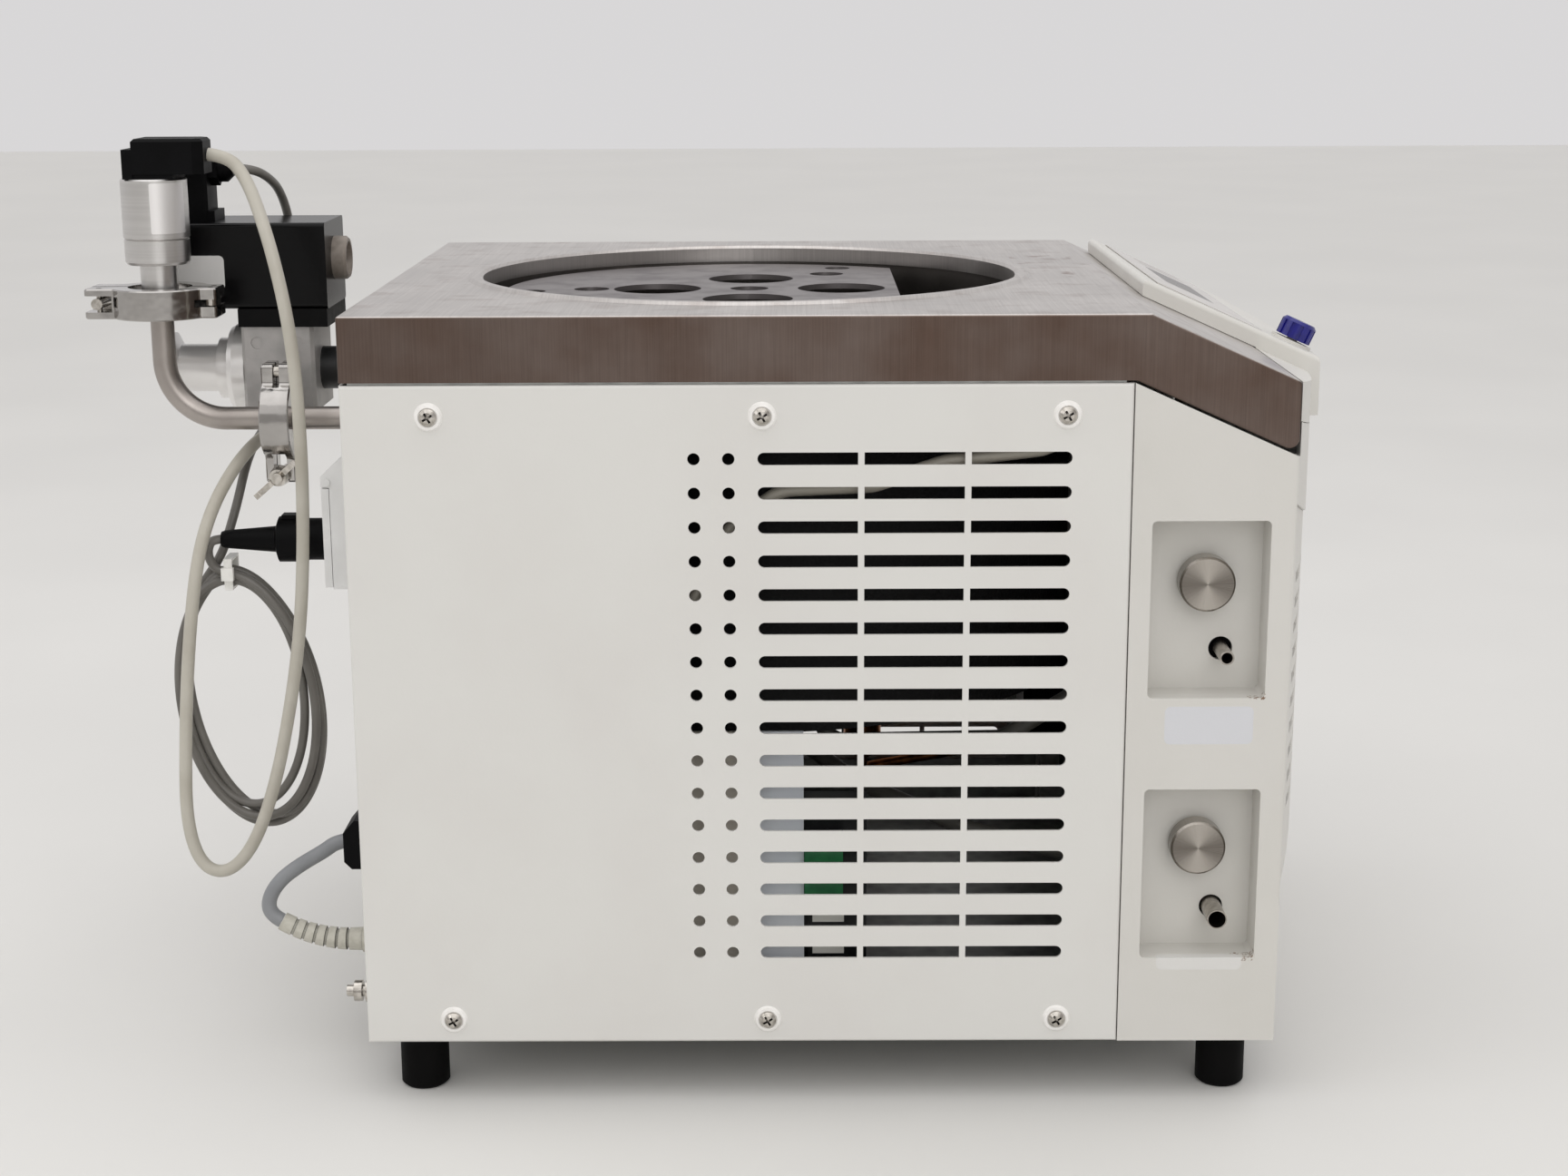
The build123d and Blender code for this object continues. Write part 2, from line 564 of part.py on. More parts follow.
def chamber_pot():
    """Deep-drawn stainless pot with a rim under the deck, two spouts and three lugs for the plate."""
    outer = POT_R + SHEET
    pot = turned((0, OPENING_Y, 0), "z", [
        (0, POT_FLOOR_Z - SHEET), (outer, POT_FLOOR_Z - SHEET), (outer, FRAME_TOP - SHEET),
        (POT_R + POT_RIM, FRAME_TOP - SHEET), (POT_R + POT_RIM, FRAME_TOP), (POT_R, FRAME_TOP),
        (POT_R, POT_FLOOR_Z), (0, POT_FLOOR_Z)])
    lug_z = PLATE_Z - PLATE_T
    for turn in (30, 150, 270):
        lug = slab(PLATE_R - 3, POT_R + SHEET / 3, -7, 7, lug_z - SHEET, lug_z)
        pot += Pos(0, OPENING_Y, 0) * Rot(Z=turn) * lug
    for x, y in spout_places():
        pot += rod("z", (x, y, POT_FLOOR_Z - SPOUT_L), SPOUT_L - SHEET / 2, SPOUT_R)
        pot -= rod("z", (x, y, POT_FLOOR_Z - SPOUT_L - 1), SPOUT_L + 5, SPOUT_BORE)
    return pot - chamber_ports(POT_R, RUN_FIT)


def pot_insulation():
    """Closed-cell foam round the pot and its cooling coil."""
    top = FRAME_TOP - FOLD
    outer = FOAM_INNER + FOAM_T
    foam = turned((0, OPENING_Y, 0), "z", [(0, FOAM_Z0), (outer, FOAM_Z0), (outer, top), (FOAM_INNER, top),
                                           (FOAM_INNER, FOAM_Z1), (0, FOAM_Z1)])
    hole = COIL_TUBE_R + REST_GAP
    foam -= [rod("z", (x, y, FOAM_Z0 - 1), FOAM_Z1 - FOAM_Z0 + 2, SPOUT_R + REST_GAP) for x, y in spout_places()]
    foam -= rod("z", (COIL_R, OPENING_Y, FOAM_Z0 - 1), FOAM_Z1 - FOAM_Z0 + 2, hole)
    foam -= rod("x", (COIL_R, OPENING_Y, COIL_Z1), outer, hole)
    return foam - chamber_ports(POT_R, REST_GAP)


def baffle_plate():
    """Loose perforated plate near the mouth of the chamber, with its front segment cut away."""
    low = PLATE_Z - PLATE_T
    plate = rod("z", (0, 0, low), PLATE_T, PLATE_R)
    plate -= slab(-PLATE_R, PLATE_R, -PLATE_R - 1, -PLATE_CHORD, low - 1, PLATE_Z + 1)
    holes = []
    for reach, first, number, radius in PLATE_HOLES:
        for i in range(number):
            turn = radians(first + 360 * i / number)
            holes.append(rod("z", (reach * cos(turn), reach * sin(turn), low - 1), PLATE_T + 2, radius))
    return Pos(0, OPENING_Y, 0) * (plate - holes)


def evaporator_coil():
    """Refrigerant tube wound round the pot; its ends leave the foam below and at the side."""
    helix = Helix(pitch=(COIL_Z1 - COIL_Z0) / COIL_TURNS, height=COIL_Z1 - COIL_Z0, radius=COIL_R)
    tube = sweep(Plane(origin=helix @ 0, z_dir=helix % 0) * Circle(COIL_TUBE_R), path=helix)
    coil = Pos(0, OPENING_Y, COIL_Z0) * tube
    slim = COIL_TUBE_R - 0.02
    coil += rod("z", (COIL_R, OPENING_Y, FOAM_Z0), COIL_Z0 - FOAM_Z0, slim)
    coil += rod("x", (COIL_R, OPENING_Y, COIL_Z1), COIL_TAIL, slim)
    return coil


# ---------------------------------------------------------------- refrigeration
COMPRESSOR_X = W2 - 117.0
COMPRESSOR_Y = D2 - 124.2
CAN_R = 66.0
CAN_H = 130.0
MOUNT_H = 10.0
MOUNT_R = 8.0
CONDENSER_X1 = W2 - 32.0
CONDENSER_W = 256.0
CONDENSER_Y0 = -D2 + 14.0
CONDENSER_T = 38.0
CONDENSER_Z1 = DECK_Z - 111.5
STUB_L = 8.0
STUB_ZS = (90.0, 250.0)
FINS = 16
FAN_Z = 150.0
FAN_R = 86.0
FAN_HUB_R = 16.0
BLADES = 5
BLADE_TURN = 28.0
SHROUD_R = 92.0
SHROUD_L = 26.0
MOTOR_R = 27.0
SHAFT_R = 3.0
LINE_R = 3.2
DRIER = (W2 - 35.0, -31.1)
DRIER_R = 12.0
DRIER_L = 88.0

PAN_TOP = FOOT_H + FRAME_T
CONDENSER_Y1 = CONDENSER_Y0 + CONDENSER_T
CONDENSER_X0 = CONDENSER_X1 - CONDENSER_W
CONDENSER_Y = CONDENSER_Y0 + CONDENSER_T / 2
FAN_X = CONDENSER_X1 - CONDENSER_W / 2
SHROUD_Y = CONDENSER_Y1 + REST_GAP
MOTOR_Y = SHROUD_Y + SHROUD_L + 2.0


def compressor():
    """Hermetic can with its seam, domed top and pressed foot plate."""
    z0 = PAN_TOP + MOUNT_H + 3
    can = turned((COMPRESSOR_X, COMPRESSOR_Y, z0), "z", [
        (0, 0), (CAN_R - 10, 0), (CAN_R, 10), (CAN_R, 62), (CAN_R + 4, 62), (CAN_R + 4, 68), (CAN_R, 68),
        (CAN_R - 2, CAN_H - 22), (CAN_R - 20, CAN_H - 6), (12, CAN_H), (0, CAN_H)])
    reach_x, reach_y = CAN_R + 10, CAN_R - 8
    can += slab(COMPRESSOR_X - reach_x, COMPRESSOR_X + reach_x, COMPRESSOR_Y - reach_y, COMPRESSOR_Y + reach_y,
                z0 - 3, z0 + 1)
    return can


def compressor_mounts():
    """Rubber grommets between the foot plate and the floor."""
    reach_x, reach_y = CAN_R + 1, CAN_R - 17
    return [rod("z", (COMPRESSOR_X + i * reach_x, COMPRESSOR_Y + j * reach_y, PAN_TOP), MOUNT_H, MOUNT_R)
            for i in (-1, 1) for j in (-1, 1)]


def condenser_core():
    """Air-cooled condenser: fin pack, end plates and two pipe stubs."""
    border = 8.0
    core = slab(CONDENSER_X0, CONDENSER_X1, CONDENSER_Y0, CONDENSER_Y1, PAN_TOP, CONDENSER_Z1)
    pitch = (CONDENSER_W - 2 * border) / FINS
    channel = pitch * 0.7
    for i in range(FINS):
        x = CONDENSER_X0 + border + (i + 0.5) * pitch
        core -= slab(x - channel / 2, x + channel / 2, CONDENSER_Y0 - 1, CONDENSER_Y0 + 6, PAN_TOP + border,
                     CONDENSER_Z1 - border)
    for z in STUB_ZS:
        core += rod("x", (CONDENSER_X1 - 1, CONDENSER_Y, z), STUB_L + 1, LINE_R + 0.8)
    return core


def fan_shroud():
    """Sheet shroud with a ring round the blades and three arms that hold the motor."""
    shroud = slab(CONDENSER_X0, CONDENSER_X1, SHROUD_Y, SHROUD_Y + 2, PAN_TOP, CONDENSER_Z1)
    shroud -= rod("y", (FAN_X, SHROUD_Y - 1, FAN_Z), 4, SHROUD_R)
    shroud += rod("y", (FAN_X, SHROUD_Y, FAN_Z), SHROUD_L, SHROUD_R + SHEET, SHROUD_R)
    hub_y = MOTOR_Y - 4
    shroud += rod("y", (FAN_X, hub_y, FAN_Z), 4, 22, 14)
    for turn in (90, 210, 330):
        arm = slab(20, SHROUD_R + SHEET / 2, -4, 4, 0, 4)
        shroud += Pos(FAN_X, hub_y, FAN_Z) * Rot(X=-90) * Rot(Z=turn) * arm
    return shroud


def fan_motor():
    """Shaded-pole motor with the shaft that carries the blades."""
    motor = turned((FAN_X, MOTOR_Y, FAN_Z), "y", [(0, 0), (24, 0), (MOTOR_R, 4), (MOTOR_R, 26), (22, 30), (0, 30)])
    return motor + rod("y", (FAN_X, MOTOR_Y - 20, FAN_Z), 21, SHAFT_R)


def fan_rotor():
    """Pressed fan: hub and pitched blades."""
    hub_l = 12.0
    rotor = rod("y", (0, 0, 0), hub_l, FAN_HUB_R)
    for i in range(BLADES):
        blade = Pos(0, 0, (FAN_HUB_R + FAN_R) / 2 - 2) * Rot(Z=BLADE_TURN) * Box(40, 1.8, FAN_R - FAN_HUB_R + 4)
        blade &= rod("y", (0, -20, 0), 40, FAN_R)
        rotor += Pos(0, 4.6, 0) * Rot(Y=360 / BLADES * i) * blade
    rotor -= rod("y", (0, -1, 0), hub_l + 2, SHAFT_R + RUN_FIT)
    return Pos(FAN_X, SHROUD_Y + 7, FAN_Z) * rotor


def refrigerant_lines():
    """Discharge line, liquid line with its filter drier, and suction line."""
    stub = CONDENSER_X1 + STUB_L
    side = stub + 10
    low, high = STUB_ZS
    top_y = COMPRESSOR_Y - CAN_R - REST_GAP
    discharge = pipe([(COMPRESSOR_X, top_y, 120), (COMPRESSOR_X, top_y - 61, 120), (side, top_y - 130, 120),
                      (side, CONDENSER_Y, high), (stub, CONDENSER_Y, high)], LINE_R, 14)
    drier_x, drier_y = DRIER
    foot = low - 30
    liquid = pipe([(stub, CONDENSER_Y, low), (side, CONDENSER_Y, low), (side, drier_y, foot),
                   (drier_x, drier_y, foot), (drier_x, drier_y, foot + 16)], LINE_R, 12)
    drier = turned((drier_x, drier_y, foot + 14), "z", [
        (0, 0), (4, 0), (DRIER_R, 12), (DRIER_R, DRIER_L - 12), (4, DRIER_L), (0, DRIER_L)])
    top = foot + 14 + DRIER_L
    feed = pipe([(drier_x, drier_y, top - 2), (drier_x, drier_y, FOAM_Z0 - 13), (COIL_R, OPENING_Y, FOAM_Z0 - 13),
                 (COIL_R, OPENING_Y, FOAM_Z0)], LINE_R, 5)
    can_x = COMPRESSOR_X + CAN_R + REST_GAP
    suction = pipe([(COIL_R + COIL_TAIL, OPENING_Y, COIL_Z1), (LINE_X, OPENING_Y, COIL_Z1),
                    (LINE_X, OPENING_Y, 130), (can_x + 18, COMPRESSOR_Y, 130), (can_x, COMPRESSOR_Y, 130)],
                   LINE_R, 8)
    return [discharge, liquid + drier + feed, suction]


# ---------------------------------------------------------------- electrics
BRACKET_X = -W2 + 13.0
BRACKET_Y0 = SLOT_Y1 - 21.9
BRACKET_L = 103.0
BRACKET_Z1 = 193.0
BOARD_GAP = 4.0          # bracket to terminal board
LOOM_R = 3.5
LOOM_X = -W2 + 9.0


def electrics_plate():
    """Painted bracket behind the left vents."""
    ends = (BRACKET_Y0, BRACKET_Y0 + BRACKET_L)
    plate = slab(BRACKET_X, BRACKET_X + FRAME_T, *ends, PAN_TOP, BRACKET_Z1)
    return plate + slab(BRACKET_X, BRACKET_X + 26, *ends, PAN_TOP, PAN_TOP + FRAME_T)


def terminal_board():
    """Terminal board with one green and two white connector blocks, and the wiring loom above it."""
    x0 = BRACKET_X + FRAME_T + BOARD_GAP
    board = slab(x0, x0 + 1.6, BRACKET_Y0 - 32, BRACKET_Y0 + 74, PAN_TOP + 26, PAN_TOP + 126)
    for y in (BRACKET_Y0 + 20, BRACKET_Y0 + 66):
        for z in (PAN_TOP + 36, PAN_TOP + 116):
            board += rod("x", (x0 - BOARD_GAP, y, z), BOARD_GAP + 1, 3)
    edge = BRACKET_Y0 - REST_GAP
    board += slab(BRACKET_X - 4, x0 + 1, edge - 19.5, edge, 104, 140)
    board += slab(BRACKET_X + 1, x0 + 1, edge - 22, edge - 2, 64, 103)
    for z in (76, 93):
        board += slab(BRACKET_X - 3, BRACKET_X + 2, edge - 20, edge - 4, z, z + 9)
    web_x = -FRAME_X + FRAME_T + LOOM_R + REST_GAP
    loom = pipe([(x0 + 4, 93.9, 140), (x0 + 2, 93.9, 189), (LOOM_X, 78.9, 229), (LOOM_X, 43.9, 299),
                 (LOOM_X, 18.9, 317), (LOOM_X, -26.1, 319), (LOOM_X, -61.1, 331), (web_x, -108.0, 337),
                 (web_x, -139.1, 350)], LOOM_R, 20)
    return [board, loom]


# ---------------------------------------------------------------- controls
def dial_place():
    """Middle of the dial on the housing's upper face."""
    y = bow(DIAL_X) - HOUSING_LEAD + DIAL_FROM_FRONT
    return (DIAL_X, y, deck_line(y, -HOUSING_H))


def on_slope(shape):
    """Places a shape drawn about +Z at the dial, square to the sloping face."""
    return Pos(*dial_place()) * Rot(X=SLOPE) * shape


def over_slope(offset):
    """Everything above the deck's slope, less an offset square to it."""
    far, high = -D2 - FAR, DECK_Z + FAR
    points = [(far, deck_line(far, offset)), (BEND_Y, deck_line(BEND_Y, offset)), (BEND_Y, high), (far, high)]
    return side_prism(points, -W2 - 1, W2 + 1)


def panel_ends():
    """Front and back of the membrane panel."""
    return (-D2 - 6.0, HOUSING_Y1 - 9.0)


def control_housing():
    """Moulded control housing: nose in front of the deck and raised box over its slope."""
    z1 = DECK_Z + 20
    back = -D2 + 5
    seam = arch_prism(SEAM_Z, SEAM_RISE, 100, -D2 - FAR, -D2 + 20, 3)
    nose = bowed_plan(back, 0, 0, SEAM_Z, z1) - over_slope(0)
    nose -= slab(-W2 - 1, W2 + 1, -D2 - REST_GAP, -D2 + 9, SEAM_Z - 9, z1 + 9)
    hollow = bowed_plan(back, WALL, WALL, SEAM_Z - 10, z1) - over_slope(WALL)
    lead = Pos(0, -HOUSING_LEAD, 0) * bowed_plan(HOUSING_Y1 + HOUSING_LEAD, 0, 0, SEAM_Z, z1)
    box = lead & slab(HOUSING_X0, HOUSING_X1, -D2 - FAR, HOUSING_Y1, SEAM_Z - 5, z1)
    box -= over_slope(-HOUSING_H)
    box = fillet(box.edges().filter_by(lambda e: e.center().Z > deck_line(e.center().Y, -HOUSING_H) - 2.5),
                 HOUSING_EDGE_R)
    under = [(-D2 - REST_GAP, 200), (-D2 - REST_GAP, deck_line(-D2 - REST_GAP, -REST_GAP)),
             (BEND_Y, deck_line(BEND_Y, -REST_GAP)), (BEND_Y, 200)]
    box -= side_prism(under, -W2 - 1, W2 + 1)
    housing = nose + box - hollow - seam
    y0, y1 = panel_ends()
    rim = slab(HOUSING_X0 + PANEL_RIM, HOUSING_X1 - PANEL_RIM, y0, y1, 300, z1 + 20)
    housing -= rim & over_slope(FILM_T + 0.2 - HOUSING_H)
    housing += on_slope(rod("z", (0, 0, -1), DIAL_RISE, DIAL_R + 1.6))
    return housing - on_slope(rod("z", (0, 0, -60), 80, ENCODER_R + RUN_FIT))


def membrane_panel():
    """Film keypad and display window, laid in the recess of the housing."""
    y0, y1 = panel_ends()
    low, high = HOUSING_H - FILM_T - 0.2, HOUSING_H - 0.2
    edge = PANEL_RIM + REST_GAP
    points = [(y0 + REST_GAP, deck_line(y0, -low)), (y1 - REST_GAP, deck_line(y1, -low)),
              (y1 - REST_GAP, deck_line(y1, -high)), (y0 + REST_GAP, deck_line(y0, -high))]
    return side_prism(points, HOUSING_X0 + edge, HOUSING_X1 - edge)


def encoder_shaft():
    """Shaft of the push-and-turn encoder."""
    return on_slope(rod("z", (0, 0, -14), 14 + DIAL_H - 3, ENCODER_R))


def control_knob():
    """Blue push-and-turn knob with finger flutes."""
    knob = turned((0, 0, DIAL_RISE), "z", [
        (0, 0), (DIAL_R, 0), (DIAL_R, DIAL_H - 1.6), (DIAL_R - 1.6, DIAL_H), (0, DIAL_H)])
    for i in range(FLUTES):
        knob -= Rot(Z=360 / FLUTES * i) * slab(DIAL_R - 0.6, DIAL_R + 2, -0.8, 0.8, 2, DIAL_RISE + DIAL_H - 2)
    return on_slope(knob - rod("z", (0, 0, 0), DIAL_H - 2.5, ENCODER_R + RUN_FIT))


# ---------------------------------------------------------------- valve pockets
TAIL_X = VALVE_X0 + VALVE_L + 15.0      # end of a valve's hose tail
HOSE_Y = POCKET_Y + NOZZLE_SHIFT


def pocket_hose(z, corners, spout):
    """Hose from a valve's tail to a spout under the chamber."""
    x, y = spout
    bottom = POT_FLOOR_Z - SPOUT_L
    start = [(TAIL_X, HOSE_Y, z - NOZZLE_DROP), (TAIL_X + 16, HOSE_Y, z - NOZZLE_DROP)]
    return pipe(start + corners + [(x, y, bottom - 30), (x, y, bottom)], HOSE_R, 14)


def pocket_valves():
    """Diaphragm valves behind the pockets, with the stems of their knobs and their hoses."""
    pieces = []
    for z in (AERATION_Z, DRAIN_Z):
        knob_z, nozzle_z = z + KNOB_RISE, z - NOZZLE_DROP
        body = slab(VALVE_X0, VALVE_X0 + VALVE_L, POCKET_Y - 19, POCKET_Y + 14, nozzle_z - 9, knob_z + 13)
        stem_x = -W2 + POCKET_DEPTH - KNOB_T + 3
        body += rod("x", (stem_x, POCKET_Y, knob_z), VALVE_X0 - stem_x + 1, STEM_R)
        pieces.append(body + rod("x", (VALVE_X0 + 1, HOSE_Y, nozzle_z), TAIL_X - VALVE_X0 - 1, HOSE_R))
    drain, aeration = spout_places()
    side_x = TAIL_X + 28
    pieces.append(pocket_hose(AERATION_Z, [(side_x, HOSE_Y + 22, 225), (side_x + 2, HOSE_Y + 56, 195), (-98, -99, 164)],
                              aeration))
    pieces.append(pocket_hose(DRAIN_Z, [(side_x, HOSE_Y + 22, 97), (side_x, HOSE_Y + 60, 100), (-88, -80, 110),
                                        (-50, -21, 125)], drain))
    return pieces


def valve_knob(z):
    """Turned stainless knob with a chamfered face and a necked back."""
    x_back = -W2 + POCKET_DEPTH - 1.0
    neck = KNOB_R - 3
    knob = turned((x_back, POCKET_Y, z + KNOB_RISE), "x", [
        (0, 0), (neck, 0), (neck, -2), (KNOB_R, -3), (KNOB_R, -KNOB_T + 1), (KNOB_R - 1, -KNOB_T), (0, -KNOB_T)])
    return knob - rod("x", (x_back - KNOB_T + 3, POCKET_Y, z + KNOB_RISE), 20, STEM_R + RUN_FIT)


def hose_nozzle(z, size):
    """Plain hose nozzle that stands out of the pocket, flush with the side."""
    radius, bore = size
    start = (-W2, HOSE_Y, z - NOZZLE_DROP)
    length = VALVE_X0 + W2
    return rod("x", start, length, radius, bore)


# ---------------------------------------------------------------- clamps and vacuum fittings
CLAMP_W = 16.0
CLAMP_EDGE = 0.7
SPLIT = 2.0              # gap between the halves
BOLT_R = 3.0
PIN_R = 1.5
LINK_L = 15.0
LINK_W = 6.4
LINK_PINS = 4.0
HUB_L = 9.0
HUB_R = 5.6
WING_T = 3.2
CLAMPS = {
    "gauge": dict(flange=GAUGE_FLANGE_R, ring=GAUGE_FLANGE_R + 6.0, bolt=30.9, end=37.6, lug=14.1, slot=4.35,
                  hinge_end=32.5, hinge=11.0, hinge_slot=4.0, hinge_floor=21.5, side=1, wing=8.5, root=1.5, turn=0),
    "port": dict(flange=TUBE_FLANGE_R, ring=TUBE_FLANGE_R + 7.0, bolt=29.9, end=34.3, lug=9.0, slot=3.6,
                 hinge_end=30.5, hinge=9.5, hinge_slot=3.5, hinge_floor=18.4, side=-1, wing=16.0, root=3.8, turn=49),
}


def clamp_frame(which):
    """Location of a clamp: axis along local Z, bolt towards local +Y."""
    if which == "gauge":
        return Pos(ELBOW_X, GAUGE_Y, GAUGE_CLAMP_Z)
    return Pos(ELBOW_X, PORT_CLAMP_Y, ELBOW_Z) * Rot(X=-90)


def link_reach(size):
    """Clamp axis to the middle of the hinge link."""
    return size["hinge_end"] - LINK_W / 2 - 1.2


def clamp_halves(which):
    """Two cast half rings, forked for the bolt and slotted for the hinge link."""
    size = CLAMPS[which]
    lug, flange_r, w = size["lug"], size["flange"], CLAMP_W / 2
    outline = Circle(size["ring"]) + Pos(0, size["end"] / 2) * Rectangle(2 * lug, size["end"])
    outline += Pos(0, -size["hinge_end"] / 2) * Rectangle(2 * size["hinge"], size["hinge_end"])
    outline = fillet(outline.vertices(), 2.2)
    body = Pos(0, 0, -w) * extrude(outline, CLAMP_W)
    body = chamfer(body.edges().filter_by(lambda e: abs(abs(e.center().Z) - w) < 0.01), CLAMP_EDGE)
    body -= turned((0, 0, 0), "z", [
        (0, -w - 1), (flange_r - 3, -w - 1), (flange_r - 3, -5.2), (flange_r + 0.4, -3.9), (flange_r + 0.4, 3.9),
        (flange_r - 3, 5.2), (flange_r - 3, w + 1), (0, w + 1)])
    body -= slab(-99, 99, flange_r + 2.8, 99, -size["slot"], size["slot"])
    half_slot = size["hinge_slot"] / 2
    body -= slab(-99, 99, -99, -size["hinge_floor"], -half_slot, half_slot)
    reach = link_reach(size)
    holes = [rod("z", (side * LINK_PINS, -reach, -w - 1), CLAMP_W + 2, PIN_R + RUN_FIT) for side in (-1, 1)]
    pin_x = bolt_pin(size)
    body -= holes + [rod("z", (pin_x, size["bolt"], -w - 1), CLAMP_W + 2, PIN_R + RUN_FIT)]
    body -= slab(-SPLIT / 2, SPLIT / 2, -99, 99, -w - 1, w + 1)
    return [clamp_frame(which) * (body & slab(*span, -99, 99, -w - 1, w + 1)) for span in ((-60, 0), (0, 60))]


def bolt_pin(size):
    """Pin of the swing bolt, across the fork on the side away from the nut."""
    return -size["side"] * (size["lug"] - 6.0)


def clamp_fasteners():
    """Swing bolt and hinge link of each clamp."""
    pieces = []
    for which, size in CLAMPS.items():
        start, stop = sorted((-size["side"] * size["lug"], size["side"] * (size["lug"] + HUB_L + 3.0)))
        bolt = rod("x", (start, size["bolt"], 0), stop - start, BOLT_R)
        bolt += rod("z", (bolt_pin(size), size["bolt"], -CLAMP_W / 2 + 1), CLAMP_W - 2, PIN_R)
        plate_t = size["hinge_slot"] - 2 * REST_GAP
        link = Pos(0, -link_reach(size), -plate_t / 2) * extrude(SlotOverall(LINK_L, LINK_W), plate_t)
        for side in (-1, 1):
            link += rod("z", (side * LINK_PINS, -link_reach(size), -CLAMP_W / 2 + 0.5), CLAMP_W - 1, PIN_R)
        pieces += [clamp_frame(which) * bolt, clamp_frame(which) * link]
    return pieces


def wing_nut(which):
    """Wing nut that runs on a clamp's swing bolt."""
    size = CLAMPS[which]
    reach = size["wing"]
    nut = turned((0, 0, 0), "x", [(0, 0), (HUB_R, 0), (HUB_R - 0.3, 5), (HUB_R - 1, HUB_L), (0, HUB_L)])
    outline = [(0, 0), (1.5, HUB_R + 1), (3.0, reach - 2), (5.0, reach), (10.5, reach - 1), (11.0, reach - 4),
               (7.5, HUB_R), (HUB_L - 0.5 - size["root"], 0)]
    wing = Pos(size["root"], 0) * fillet(make_face(Polyline(*outline, close=True)).vertices(), 0.7)
    wing = Pos(0, 0, -WING_T / 2) * extrude(wing, WING_T)
    nut += wing + Rot(X=180) * wing
    nut -= rod("x", (-1, 0, 0), HUB_L + 11, BOLT_R + RUN_FIT)
    turn = Rot(X=size["turn"]) if size["side"] > 0 else Rot(X=size["turn"]) * Rot(Z=180)
    return clamp_frame(which) * Pos(size["side"] * (size["lug"] + REST_GAP), size["bolt"], 0) * turn * nut


def centring_rings():
    """Centring ring with its seal, between each pair of flanges."""
    rings = []
    for which, bore in (("gauge", 12.0), ("port", 7.0)):
        ring = rod("z", (0, 0, -CENTRING_T / 2), CENTRING_T, CLAMPS[which]["flange"] - 1, bore)
        rings.append(clamp_frame(which) * ring)
    return rings


def flange(which, side, tube_r):
    """Small clamp flange with a conical back, on one side of the centring ring."""
    radius = CLAMPS[which]["flange"]
    near = CENTRING_T / 2
    far = near + FLANGE_T
    profile = [(tube_r - 1, near), (radius, near), (radius, far - 1.0), (radius - 3.4, far + 0.2),
               (tube_r + 1.5, far + 1.2), (tube_r - 1, far + 1.2)]
    return clamp_frame(which) * turned((0, 0, 0), "z", [(r, side * h) for r, h in profile])


def elbow_tube():
    """Bent satin tube from the wall clamp up to the gauge clamp."""
    near = CENTRING_T / 2
    path = FilletPolyline((ELBOW_X, GAUGE_Y, GAUGE_CLAMP_Z - near), (ELBOW_X, GAUGE_Y, ELBOW_Z),
                          (ELBOW_X, PORT_CLAMP_Y + near, ELBOW_Z), radius=ELBOW_R)
    section = Plane(origin=path @ 0, z_dir=path % 0) * (Circle(TUBE_R) - Circle(TUBE_R - TUBE_WALL))
    return sweep(section, path=path) + flange("gauge", -1, TUBE_R) + flange("port", 1, TUBE_R)


def port_tube():
    """Flanged tube through the rear wall, with its wall plate."""
    length = PORT_CLAMP_Y - CENTRING_T / 2 - POT_PORT_Y
    tube = rod("y", (ELBOW_X, POT_PORT_Y, ELBOW_Z), length, TUBE_R, TUBE_R - TUBE_WALL)
    tube += rod("y", (ELBOW_X, D2, ELBOW_Z), WALL_PLATE_T, WALL_PLATE_R, TUBE_R - 0.5)
    return tube + flange("port", -1, TUBE_R)


def gauge_body():
    """Vacuum gauge: small flange, neck and turned aluminium housing with a joint line."""
    joint = GAUGE_Z0 + GAUGE_JOINT
    slim = GAUGE_R - 0.3
    shape = turned((ELBOW_X, GAUGE_Y, 0), "z", [
        (0, GAUGE_CLAMP_Z + CENTRING_T), (GAUGE_NECK_R, GAUGE_CLAMP_Z + CENTRING_T), (GAUGE_NECK_R, GAUGE_Z0),
        (slim - 1.2, GAUGE_Z0), (slim, GAUGE_Z0 + 1.5), (slim, joint - 0.6), (slim - 0.7, joint),
        (GAUGE_R, joint + 0.6), (GAUGE_R, GAUGE_Z1 - 0.8), (GAUGE_R - 0.8, GAUGE_Z1), (0, GAUGE_Z1)])
    return shape + flange("gauge", 1, GAUGE_NECK_R)


def gauge_plug():
    """Angled plug on top of the gauge, with its latch and the raised foot it stands on."""
    half_w = 14.0
    z1 = GAUGE_Z1 + 21.0
    body = slab(ELBOW_X - half_w, ELBOW_X + half_w, PLUG_END, GAUGE_Y + 7.5, GAUGE_Z1 + 2.5, z1)
    body = chamfer(body.edges().filter_by(Axis.Z).sort_by(Axis.Y)[:2], 5.0)
    body = chamfer(body.faces().sort_by(Axis.Z)[-1].edges(), 1.5)
    latch = slab(ELBOW_X - half_w, ELBOW_X + half_w, GAUGE_Y + 7.5, GAUGE_Y + 12.8, GAUGE_Z1, GAUGE_Z1 + 15.5)
    foot = slab(ELBOW_X - half_w + 1, ELBOW_X + half_w - 1, GAUGE_Y - 14, GAUGE_Y + 8, GAUGE_Z1, GAUGE_Z1 + 3)
    return body + latch + foot


